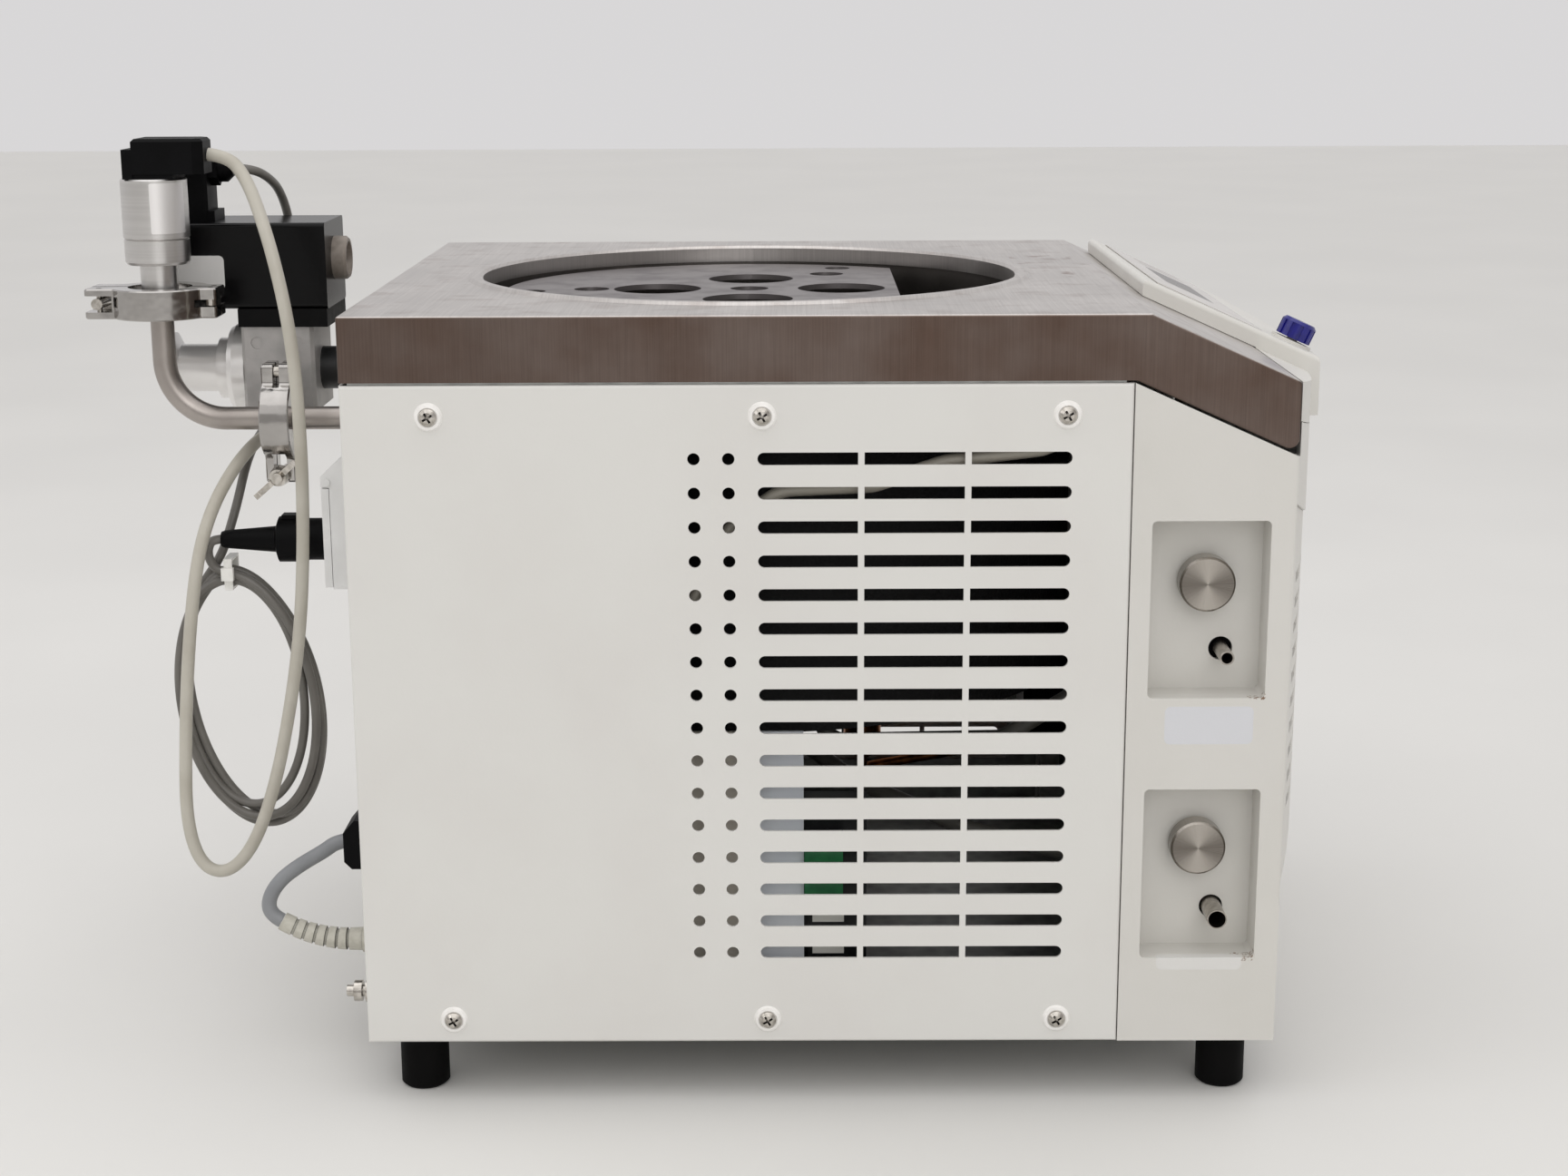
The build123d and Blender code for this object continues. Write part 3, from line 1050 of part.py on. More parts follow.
# ---------------------------------------------------------------- pressure control valve
def valve_block():
    """Cast valve body with the boss that passes through the rear wall."""
    x0, x1 = VALVE_X - VALVE_W / 2, VALVE_X + VALVE_W / 2
    block = slab(x0, x1, VALVE_Y0, VALVE_Y1, VALVE_Z0, VALVE_Z1)
    block = chamfer(block.edges().filter_by(Axis.Z), 2.0)
    block += rod("y", (VALVE_X, POT_PORT_Y, PORT_Z), VALVE_Y0 - POT_PORT_Y + 1, BOSS_R)
    block -= rod("y", (VALVE_X, POT_PORT_Y - 1, PORT_Z), VALVE_Y0 - POT_PORT_Y + 9, BOSS_BORE)
    block -= rod("y", (VALVE_X, VALVE_Y1 - 8, PORT_Z), 10, PORT_BORE)
    for y, z, radius in ((VALVE_Y0 + 9, VALVE_Z1 - 9, 3.5), (VALVE_Y1 - 9, VALVE_Z1 - 9, 3.5),
                         (VALVE_Y0 + 20, VALVE_Z0 + 9, 2.5)):
        block -= rod("x", (x0 - 1, y, z), 1.8, radius)
    return block


def valve_cap():
    """Dark flange plate between the valve body and its magnet."""
    half_w = VALVE_W / 2 + 2
    return slab(VALVE_X - half_w, VALVE_X + half_w, MAGNET_Y0 + 0.5, VALVE_Y1 + 0.5, VALVE_Z1, MAGNET_Z0)


def solenoid_coil():
    """Moulded magnet housing."""
    coil = slab(VALVE_X - MAGNET_W / 2, VALVE_X + MAGNET_W / 2, MAGNET_Y0, MAGNET_Y0 + MAGNET_L, MAGNET_Z0, MAGNET_Z1)
    return fillet(coil.edges().filter_by(Axis.Y), MAGNET_R)


def override_plug():
    """Round plug with a dished face, in the end of the magnet housing."""
    plug = turned((VALVE_X, MAGNET_Y0, (MAGNET_Z0 + MAGNET_Z1) / 2 + 2), "y", [
        (0, 0), (12, 0), (12, -6.5), (10.8, -8), (9.0, -8), (8.4, -5), (0, -5)])
    return plug


def valve_connector():
    """Square cable connector with its foot and cable gland."""
    half_w = 13.0
    tower_y0 = MAGNET_Y0 + MAGNET_L - 31.0
    body = slab(VALVE_X - half_w, VALVE_X + half_w, tower_y0, tower_y0 + 18.0, MAGNET_Z1, MAGNET_Z1 + 37.5)
    body = chamfer(body.edges().filter_by(Axis.Z), 1.5)
    body += slab(VALVE_X - half_w + 1, VALVE_X + half_w - 1, tower_y0 - 3.5, tower_y0 + 1, MAGNET_Z1, MAGNET_Z1 + 5.5)
    gland_l = tower_y0 - CONNECTOR_NOSE
    gland = extrude(Plane(origin=(VALVE_X, tower_y0, CONNECTOR_Z), z_dir=(0, -1, 0)) * RegularPolygon(9.6, 6), 5.0)
    nose = turned((VALVE_X, tower_y0, CONNECTOR_Z), "y", [(0, 0), (7.6, 0), (7.6, 3.5 - gland_l), (4.4, -gland_l),
                                                         (0, -gland_l)])
    return body + gland + nose


def valve_port():
    """Turned port with stepped collars and the pump flange."""
    y0, end = VALVE_Y1, D2 + PORT_OUT
    face = end - PORT_FLANGE_T
    collar_r = VALVE_W / 2 - 1.2
    return turned((VALVE_X, 0, PORT_Z), "y", [
        (PORT_BORE, y0), (collar_r, y0), (collar_r, y0 + 7), (collar_r - 1.8, y0 + 10),
        (PORT_FLANGE_R - 3, y0 + 10), (PORT_FLANGE_R - 3, y0 + 17), (PORT_FLANGE_R - 6.6, y0 + 17),
        (PORT_FLANGE_R - 6.6, face - 2.6), (PORT_FLANGE_R, face + 1), (PORT_FLANGE_R, end), (PORT_BORE + 1, end),
        (PORT_BORE + 1, end - 3), (PORT_BORE, end - 3)])


# ---------------------------------------------------------------- cords and their ends
GAUGE_CABLE_R = 3.5
VALVE_CABLE_R = 2.5
LEAD_R = 4.0
PLUG_END = GAUGE_Y - 29.5
CONNECTOR_NOSE = D2 + 92.0
CONNECTOR_Z = MAGNET_Z1 + 28.2
HANK_X0 = -55.0
HANK_W = 14.0
HANK_Y, HANK_Z = D2 + 85.3, 177.6
HANK_OUTER = (42.0, 75.0)
HANK_INNER = (30.0, 62.0)
HANK_TILT = -7.0
PLUG_X, PLUG_Z = -50.0, 264.5
SOCKET_HALF = 35.0
SOCKET_OUT = 27.5
SOCKET_Z0 = 245.0
SOCKET_H = 71.0
FRAME_SHEET = 4.0
LEAD_X = -120.0
SLEEVE_Z = 59.2
SLEEVE_TIP = (D2 + 57.5, 69.5)
INLET_X, INLET_Z = -110.0, 111.4
INLET_OUT = 22.0
GLAND_X, GLAND_Z = 62.0, 350.0
GLAND_L = 12.0

ROUTES_WALL = 231.1      # rear wall that the routes below were laid behind


def behind_wall(route):
    """Route of a cord, carried with the rear wall."""
    return [(x, y + D2 - ROUTES_WALL, z) for x, y, z in route]


# gauge to the gland in the rear wall
GAUGE_CABLE_ROUTE = [
    (-40, 323.6, 471.7), (-40.7, 313, 470.4), (-46, 304, 461.5), (-54, 295.5, 444.5), (-66, 285, 414),
    (-73.5, 277, 374), (-76.5, 274.5, 325), (-76.5, 275.5, 275), (-75.5, 279.5, 225), (-75, 287, 180),
    (-74, 298, 133), (-74, 311.9, 96), (-73, 327.9, 79), (-72, 342.9, 83.5), (-71, 349.9, 109), (-70, 347.9, 154),
    (-68, 343.9, 204), (-65, 337.4, 253), (-58, 329.9, 281), (-42, 319.9, 302), (-20, 309.9, 315), (12, 303.9, 316),
    (40, 297.9, 320), (57, 287.9, 334), (62, 272, 346), (62, 256, 350), (62, 243.3, 350)]

# valve connector to the hank
VALVE_CABLE_ROUTE = [
    (16, 322.8, 461.2), (16.6, 313.5, 460.6), (25, 306.5, 456), (41, 303, 447), (55, 301.3, 428), (58, 301.3, 397),
    (58, 303.5, 361), (53, 309, 334), (33, 314, 317), (4, 316, 311), (-22, 317, 301), (-35, 319.5, 283),
    (-40, 324, 267), (-44.5, 328.4, 253.2)]

# strain relief to the power inlet
LEAD_ROUTE = [
    (-120, 288.7, 69.6), (-120, 295, 73.2), (-119, 295.7, 82), (-117, 289, 92), (-114, 278, 99.5),
    (-111, 266, 105.8), (-110, 259.5, 110.5), (-110, 253.8, 111.3)]


def valve_cable_hank():
    """Outer shape of the tied cable loops, with the short tail up to the plug."""
    plane = Plane(origin=(HANK_X0, HANK_Y, HANK_Z), x_dir=(0, 1, 0), z_dir=(1, 0, 0))
    ring = extrude(plane * Rot(Z=HANK_TILT) * (Ellipse(*HANK_OUTER) - Ellipse(*HANK_INNER)), HANK_W)
    return ring + slab(PLUG_X - 4, PLUG_X + 1, PLUG_TIP + 0.1, PLUG_TIP + 11, 243, 268)


def cable_tie():
    """Nylon tie round the top of the hank."""
    x0, x1 = HANK_X0 - 0.2, HANK_X0 + HANK_W + 0.2
    y, z0, z1 = HANK_Y + 3.5, 238.6, 253.2
    band = slab(x0 - 1.4, x1 + 1.4, y, y + 4.5, z0 - 1.4, z1 + 1.4) - slab(x0, x1, y - 1, y + 6, z0, z1)
    return band + slab(x0 - 4.3, x0 - 1.2, y - 1, y + 5.5, 243, 250)


PLUG_TIP = D2 + 94.8


def hank_plug():
    """Cable plug with a tapered grip."""
    y0 = D2 + SOCKET_OUT + REST_GAP
    grip = turned((PLUG_X, 0, PLUG_Z), "y", [
        (0, PLUG_TIP), (4.2, PLUG_TIP), (4.9, PLUG_TIP - 2), (7.2, y0 + 37), (12.5, y0 + 35), (12.5, y0 + 21),
        (11.5, y0 + 19), (11.5, y0), (0, y0)])
    return grip + slab(PLUG_X - 4, PLUG_X + 4, y0 + 23, y0 + 33, PLUG_Z + 11, PLUG_Z + 14)


def plug_socket():
    """Surface-mounted socket box with a chamfered top and the hinge pin of its frame."""
    front, top = D2 + SOCKET_OUT, SOCKET_Z0 + SOCKET_H
    points = [(D2, SOCKET_Z0), (front, SOCKET_Z0), (front, top - 16), (front + 4.5, top - 15.5),
              (front + 4.5, top - 10), (D2 + 21, top), (D2, top)]
    x0, x1 = PLUG_X - SOCKET_HALF - 3, PLUG_X + SOCKET_HALF - 3
    return side_prism(points, x0, x1) + rod("x", (x0 - 1, front + 1.5, top - 13), x1 - x0 + 2, 2.2)


def socket_frame():
    """Hinged retaining frame that the plug passes through."""
    y0 = D2 + SOCKET_OUT + REST_GAP
    x0, x1 = PLUG_X - SOCKET_HALF - 3, PLUG_X + SOCKET_HALF - 3
    frame = slab(x0, x1, y0, y0 + FRAME_SHEET, SOCKET_Z0 + 1, SOCKET_Z0 + SOCKET_H - 16.4)
    return frame - rod("y", (PLUG_X, y0 - 5, PLUG_Z), 20, 12.9)


def lead_connector():
    """Moulded plug of the power lead in its inlet."""
    z0, z1 = INLET_Z - 11.4, INLET_Z + 15.6
    front = D2 + INLET_OUT
    points = [(D2, z0), (front - 4, z0), (front, z0 + 4), (front, z1 - 7), (front - 6, z1), (D2, z1)]
    return side_prism(points, INLET_X - 14, INLET_X + 14)


def strain_relief():
    """Tapered, ribbed sleeve of the power lead, from the rear wall to its tip."""
    collar_l = 14.0
    bend = (LEAD_X, D2 + 20, SLEEVE_Z)
    path = Line((LEAD_X, D2, SLEEVE_Z), bend) + TangentArc(bend, (LEAD_X, *SLEEVE_TIP), tangent=(0, 1, 0))
    ends = [Plane(origin=path @ t, z_dir=path % t) * Circle(r) for t, r in ((0, 6.6), (1, 5.0))]
    sleeve = sweep(ends, path=path, multisection=True)
    for i in range(6):
        t = 0.36 + 0.1 * i
        plane = Plane(origin=path @ t, z_dir=path % t)
        sleeve -= extrude(plane * (Circle(9) - Circle(5.4 - 1.1 * t)), 1.6)
    return sleeve + rod("y", (LEAD_X, D2, SLEEVE_Z), collar_l, 7.2)


def wall_fittings():
    """Plated cable gland of the gauge cable and the earth terminal."""
    gland = turned((GLAND_X, D2, GLAND_Z), "y", [(0, 0), (9, 0), (9, 5), (7.5, 6), (7.5, 10), (5, GLAND_L), (0, GLAND_L)])
    x, z = -W2 + 23, FOOT_H + 19
    earth = rod("y", (x, D2, z), 14, 3) + rod("y", (x, D2, z), 4, 6) + rod("y", (x, D2 + 6, z), 4, 5.5)
    return [gland, earth]


NODES = {
    "base_pan": base_pan,
    "inner_frame": inner_frame,
    "rear_panel": rear_panel,
    "left_side_panel": lambda: side_panel(-1, True),
    "right_side_panel": lambda: side_panel(1, False),
    "front_casing": front_casing,
    "front_grille": front_grille,
    "steel_deck": steel_deck,
    "rubber_feet": rubber_feet,
    "panel_screws": panel_screws,
    "cup_washers": cup_washers,
    "chamber_pot": chamber_pot,
    "pot_insulation": pot_insulation,
    "baffle_plate": baffle_plate,
    "evaporator_coil": evaporator_coil,
    "compressor": compressor,
    "compressor_mounts": compressor_mounts,
    "condenser_core": condenser_core,
    "fan_shroud": fan_shroud,
    "fan_motor": fan_motor,
    "fan_rotor": fan_rotor,
    "refrigerant_lines": refrigerant_lines,
    "electrics_plate": electrics_plate,
    "terminal_board": terminal_board,
    "control_housing": control_housing,
    "membrane_panel": membrane_panel,
    "encoder_shaft": encoder_shaft,
    "control_knob": control_knob,
    "pocket_valves": pocket_valves,
    "aeration_knob": lambda: valve_knob(AERATION_Z),
    "drain_knob": lambda: valve_knob(DRAIN_Z),
    "aeration_nozzle": lambda: hose_nozzle(AERATION_Z, AERATION_NOZZLE),
    "drain_nozzle": lambda: hose_nozzle(DRAIN_Z, DRAIN_NOZZLE),
    "port_tube": port_tube,
    "elbow_tube": elbow_tube,
    "centring_rings": centring_rings,
    "gauge_body": gauge_body,
    "gauge_plug": gauge_plug,
    "gauge_clamp_halves": lambda: clamp_halves("gauge"),
    "port_clamp_halves": lambda: clamp_halves("port"),
    "clamp_fasteners": clamp_fasteners,
    "gauge_clamp_nut": lambda: wing_nut("gauge"),
    "port_clamp_nut": lambda: wing_nut("port"),
    "valve_block": valve_block,
    "valve_cap": valve_cap,
    "solenoid_coil": solenoid_coil,
    "override_plug": override_plug,
    "valve_connector": valve_connector,
    "valve_port": valve_port,
    "gauge_cable": lambda: cord("gauge_cable", behind_wall(GAUGE_CABLE_ROUTE), GAUGE_CABLE_R),
    "valve_cable": lambda: cord("valve_cable", behind_wall(VALVE_CABLE_ROUTE), VALVE_CABLE_R),
    "valve_cable_hank": valve_cable_hank,
    "cable_tie": cable_tie,
    "hank_plug": hank_plug,
    "plug_socket": plug_socket,
    "socket_frame": socket_frame,
    "power_lead": lambda: cord("power_lead", behind_wall(LEAD_ROUTE), LEAD_R),
    "lead_connector": lead_connector,
    "strain_relief": strain_relief,
    "wall_fittings": wall_fittings,
}


def main():
    os.makedirs("parts", exist_ok=True)
    for node, build in NODES.items():
        shape = build()
        solids = shape if isinstance(shape, list) else shape.solids()
        export_step(Compound(children=list(solids)) if len(solids) > 1 else solids[0], f"parts/{node}.step")


main()
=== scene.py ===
"""Looks of a bench-top freeze dryer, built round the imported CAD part.

Metres. +Z is up, the front faces -Y and the side with the valve pockets faces -X.
"""
import json
from math import cos, radians, sin, tau

import bpy
from mathutils import Matrix, Vector


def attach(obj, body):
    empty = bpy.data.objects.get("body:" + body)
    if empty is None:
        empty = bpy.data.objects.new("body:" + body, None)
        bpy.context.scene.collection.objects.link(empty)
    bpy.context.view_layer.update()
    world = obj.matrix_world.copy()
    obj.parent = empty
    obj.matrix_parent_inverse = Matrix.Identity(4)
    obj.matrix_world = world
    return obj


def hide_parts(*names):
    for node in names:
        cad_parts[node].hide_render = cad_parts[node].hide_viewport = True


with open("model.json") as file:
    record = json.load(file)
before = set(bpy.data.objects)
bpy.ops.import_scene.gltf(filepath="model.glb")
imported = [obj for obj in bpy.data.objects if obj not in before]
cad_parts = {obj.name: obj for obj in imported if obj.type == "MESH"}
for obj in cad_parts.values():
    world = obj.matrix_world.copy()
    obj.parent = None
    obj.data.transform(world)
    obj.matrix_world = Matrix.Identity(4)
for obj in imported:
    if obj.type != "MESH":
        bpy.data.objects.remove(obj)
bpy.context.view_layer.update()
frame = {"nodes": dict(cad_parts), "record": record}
nodes = frame["nodes"]
MM = 0.001


# ---------------------------------------------------------------- camera
CAMERA_PLACE = (-1.347, 0.0129, 0.542)
YAW, PITCH, ROLL = radians(-0.237), radians(13.281), radians(-0.261)      # right, down, clockwise
SENSOR, LENS = 36.0, 55.64


def place_camera():
    """Long-lens camera a little above the deck, looking at the side with the pockets."""
    forward, right, up = Vector((1, 0, 0)), Vector((0, -1, 0)), Vector((0, 0, 1))
    forward, right = cos(YAW) * forward + sin(YAW) * right, cos(YAW) * right - sin(YAW) * forward
    forward, up = cos(PITCH) * forward - sin(PITCH) * up, cos(PITCH) * up + sin(PITCH) * forward
    right, up = cos(ROLL) * right + sin(ROLL) * up, cos(ROLL) * up - sin(ROLL) * right
    data = bpy.data.cameras.new("camera")
    data.sensor_width = SENSOR
    data.lens = LENS
    camera = bpy.data.objects.new("camera", data)
    axes = Matrix((right, up, -forward)).transposed().to_4x4()
    camera.matrix_world = Matrix.Translation(CAMERA_PLACE) @ axes
    bpy.context.scene.collection.objects.link(camera)
    bpy.context.scene.camera = camera


# ---------------------------------------------------------------- cords
GAUGE_CABLE_D, VALVE_CABLE_D, POWER_LEAD_D = 7.0, 5.0, 8.0                # millimetres, as the routes are
GAUGE_CABLE = [
    (-40, 323.6, 471.7), (-40.7, 313, 470.4), (-46, 304, 461.5), (-54, 295.5, 444.5), (-66, 285, 414),
    (-73.5, 277, 374), (-76.5, 274.5, 325), (-76.5, 275.5, 275), (-75.5, 279.5, 225), (-75, 287, 180),
    (-74, 298, 133), (-74, 311.9, 96), (-73, 327.9, 79), (-72, 342.9, 83.5), (-71, 349.9, 109),
    (-70, 347.9, 154), (-68, 343.9, 204), (-65, 337.4, 253), (-58, 329.9, 281), (-42, 319.9, 302),
    (-20, 309.9, 315), (12, 303.9, 316), (40, 297.9, 320), (57, 287.9, 334), (62, 272, 346),
    (62, 256, 350), (62, 243.3, 350)]

VALVE_CABLE = [
    (16, 322.8, 461.2), (16.6, 313.5, 460.6), (25, 306.5, 456), (41, 303, 447), (55, 301.3, 428),
    (58, 301.3, 397), (58, 303.5, 361), (53, 309, 334), (33, 314, 317), (4, 316, 311), (-22, 317, 301),
    (-35, 319.5, 283), (-40, 324, 267), (-44.5, 328.4, 253.2)]

POWER_LEAD = [
    (-120, 288.7, 69.6), (-120, 295, 73.2), (-119, 295.7, 82), (-117, 289, 92), (-114, 278, 99.5),
    (-111, 266, 105.8), (-110, 259.5, 110.5), (-110, 253.8, 111.3)]

HANK_MIDDLE = (-48.0, 316.4, 177.6)
HANK_TURNS = (              # half width, half height, place along X, sag along Y and Z, tilt in degrees
    (39.2, 72.2, 4.0, 0.5, -8.0, -7.0), (35.5, 70.0, 1.3, -2.0, -5.0, -10.0),
    (34.0, 66.0, -1.3, 2.5, -1.0, -3.5), (38.0, 69.5, -4.0, 0.5, -4.5, -6.0))
HANK_STEPS = 14             # points in each turn
HANK_START = 62             # where the cable joins the hank, in degrees from +Y
TIED_TILT = -7              # tilt that the tie gives every turn, in degrees
TIED_SPREAD = 0.55          # share of the turns' places along X that is left inside the tie
TIE_REACH = 6               # the higher, the shorter the stretch that the tie holds together
PLUG_TAIL = [
    (-50.5, 331, 248.5), (-51.5, 334, 256), (-51.5, 332.6, 262.6), (-50.6, 329.5, 264.4),
    (-50, 326.1, 264.5)]


def smooth_cord(name, points, diameter):
    """Round cord along a smooth line through the route, in millimetres."""
    data = bpy.data.curves.new(name, "CURVE")
    data.dimensions = "3D"
    data.bevel_depth = 1.0                  # times each point's radius
    data.bevel_resolution = 6
    data.resolution_u = 10
    data.use_fill_caps = True
    spline = data.splines.new("NURBS")
    spline.points.add(len(points) - 1)
    for point, place in zip(spline.points, points):
        point.co = (place[0] * MM, place[1] * MM, place[2] * MM, 1)
        point.radius = diameter / 2 * MM
    spline.order_u = 3
    spline.use_endpoint_u = True
    piece = bpy.data.objects.new(name, data)
    bpy.context.scene.collection.objects.link(piece)
    return piece


def line_length(piece):
    """Length of a cord's own line, in metres."""
    bare = piece.data.copy()
    bare.bevel_depth = 0
    probe = bpy.data.objects.new("probe", bare)
    bpy.context.scene.collection.objects.link(probe)
    bpy.context.view_layer.update()
    mesh = bpy.data.meshes.new_from_object(probe.evaluated_get(bpy.context.evaluated_depsgraph_get()))
    ends = [(mesh.vertices[a].co, mesh.vertices[b].co) for a, b in (edge.vertices for edge in mesh.edges)]
    total = sum((a - b).length for a, b in ends)
    bpy.data.objects.remove(probe)
    bpy.data.curves.remove(bare)
    bpy.data.meshes.remove(mesh)
    return total


def hank_turns():
    """Turns of the spare cable: loose ovals that fan out at the front and are gathered by the tie."""
    points = []
    x0, y0, z0 = HANK_MIDDLE
    for half_y, half_z, x, sag_y, sag_z, tilt in HANK_TURNS:
        for step in range(HANK_STEPS):
            t = radians(HANK_START) - tau * step / HANK_STEPS
            loose = 1 - max(0.0, sin(t)) ** TIE_REACH           # 0 at the tie, 1 in the loose part
            turn = radians(TIED_TILT + (tilt - TIED_TILT) * loose)
            y, z = half_y * cos(t) + sag_y * loose, half_z * sin(t) + sag_z * loose
            points.append((x0 + x * (TIED_SPREAD + (1 - TIED_SPREAD) * loose),
                           y0 + y * cos(turn) - z * sin(turn), z0 + y * sin(turn) + z * cos(turn)))
    return points


def lay_cords():
    """The three cords, each measured along its line, though the lengths are not kept; returns the finish of
    each.
    """
    gauge = smooth_cord("gauge_cable_jacket", GAUGE_CABLE, GAUGE_CABLE_D)
    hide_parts("gauge_cable")
    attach(gauge, "cabinet")
    line_length(gauge)
    valve = smooth_cord("valve_cable_jacket", VALVE_CABLE + hank_turns() + PLUG_TAIL, VALVE_CABLE_D)
    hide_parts("valve_cable", "valve_cable_hank")
    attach(valve, "cabinet")
    line_length(valve)
    lead = smooth_cord("power_lead_jacket", POWER_LEAD, POWER_LEAD_D)
    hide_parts("power_lead")
    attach(lead, "cabinet")
    line_length(lead)
    return {gauge: "cream_pvc", valve: "grey_pvc", lead: "blue_grey_pvc"}


# ---------------------------------------------------------------- node helpers
def linear(colour):
    """sRGB hex colour to the linear values that nodes use."""
    values = []
    for start in (1, 3, 5):
        c = int(colour[start:start + 2], 16) / 255
        values.append(c / 12.92 if c <= 0.04045 else ((c + 0.055) / 1.055) ** 2.4)
    return (*values, 1.0)


def add(tree, kind, inputs=(), to=None, **settings):
    """Adds a node with its settings and links, and returns it.

    Each input is a value, an output, or a node that stands for its first output. The new node's own first
    output goes to the socket, where one is given.
    """
    node = tree.nodes.new(kind)
    for name, value in settings.items():
        setattr(node, name, value)
    for name, value in dict(inputs).items():
        if isinstance(value, bpy.types.Node):
            value = value.outputs[0]
        if isinstance(value, bpy.types.NodeSocket):
            tree.links.new(value, node.inputs[name])
        else:
            node.inputs[name].default_value = value
    if to:
        tree.links.new(node.outputs[0], to)
    return node


def new_material(name, colour, roughness, metallic=0.0, **shader):
    """New material: itself, its tree, its shader and the part's own coordinates."""
    material = bpy.data.materials.new(name)
    material.use_nodes = True
    tree = material.node_tree
    skin = tree.nodes["Principled BSDF"]
    skin.inputs["Base Color"].default_value = linear(colour)
    skin.inputs["Roughness"].default_value = roughness
    skin.inputs["Metallic"].default_value = metallic
    for socket, value in shader.items():
        skin.inputs[socket.replace("_", " ")].default_value = value
    return material, tree, skin, add(tree, "ShaderNodeTexCoord").outputs["Object"]


def pattern(tree, place, size, low, high, detail=2.0, stretch=(1, 1, 1)):
    """Noise, size millimetres across and longer by stretch, spread so that low..high fills 0..1."""
    scale = tuple(1 / (size * MM * s) for s in stretch)
    scaled = add(tree, "ShaderNodeMapping", {"Vector": place, "Scale": scale})
    noise = add(tree, "ShaderNodeTexNoise", {"Vector": scaled, "Scale": 1.0, "Detail": detail})
    return add(tree, "ShaderNodeMapRange", {"Value": noise, "From Min": low, "From Max": high})


def layered(tree, first, *coats):
    """Colour of coats laid over one another; each has its tone and the factor that says where it lies."""
    colour = linear(first) if isinstance(first, str) else first
    for tone, where in coats:
        tone = linear(tone) if isinstance(tone, str) else tone
        colour = add(tree, "ShaderNodeMix", {0: where, 6: colour, 7: tone}, data_type="RGBA").outputs[2]
    return colour


EDGE = 1e-6                 # metres; keeps the inside of a box with sharp corners


def region(tree, place, low, high, corner=0.0):
    """1 inside a box with rounded corners, in the part's millimetres."""
    middle = tuple((a + b) / 2 * MM for a, b in zip(low, high))
    half = tuple(((b - a) / 2 - corner) * MM for a, b in zip(low, high))
    away = add(tree, "ShaderNodeVectorMath", {0: place, 1: middle}, operation="SUBTRACT")
    away = add(tree, "ShaderNodeVectorMath", {0: away}, operation="ABSOLUTE")
    away = add(tree, "ShaderNodeVectorMath", {0: away, 1: half}, operation="SUBTRACT")
    away = add(tree, "ShaderNodeVectorMath", {0: away, 1: (0, 0, 0)}, operation="MAXIMUM")
    reach = add(tree, "ShaderNodeVectorMath", {0: away}, operation="LENGTH").outputs["Value"]
    return add(tree, "ShaderNodeMath", {0: reach, 1: corner * MM + EDGE}, operation="LESS_THAN")


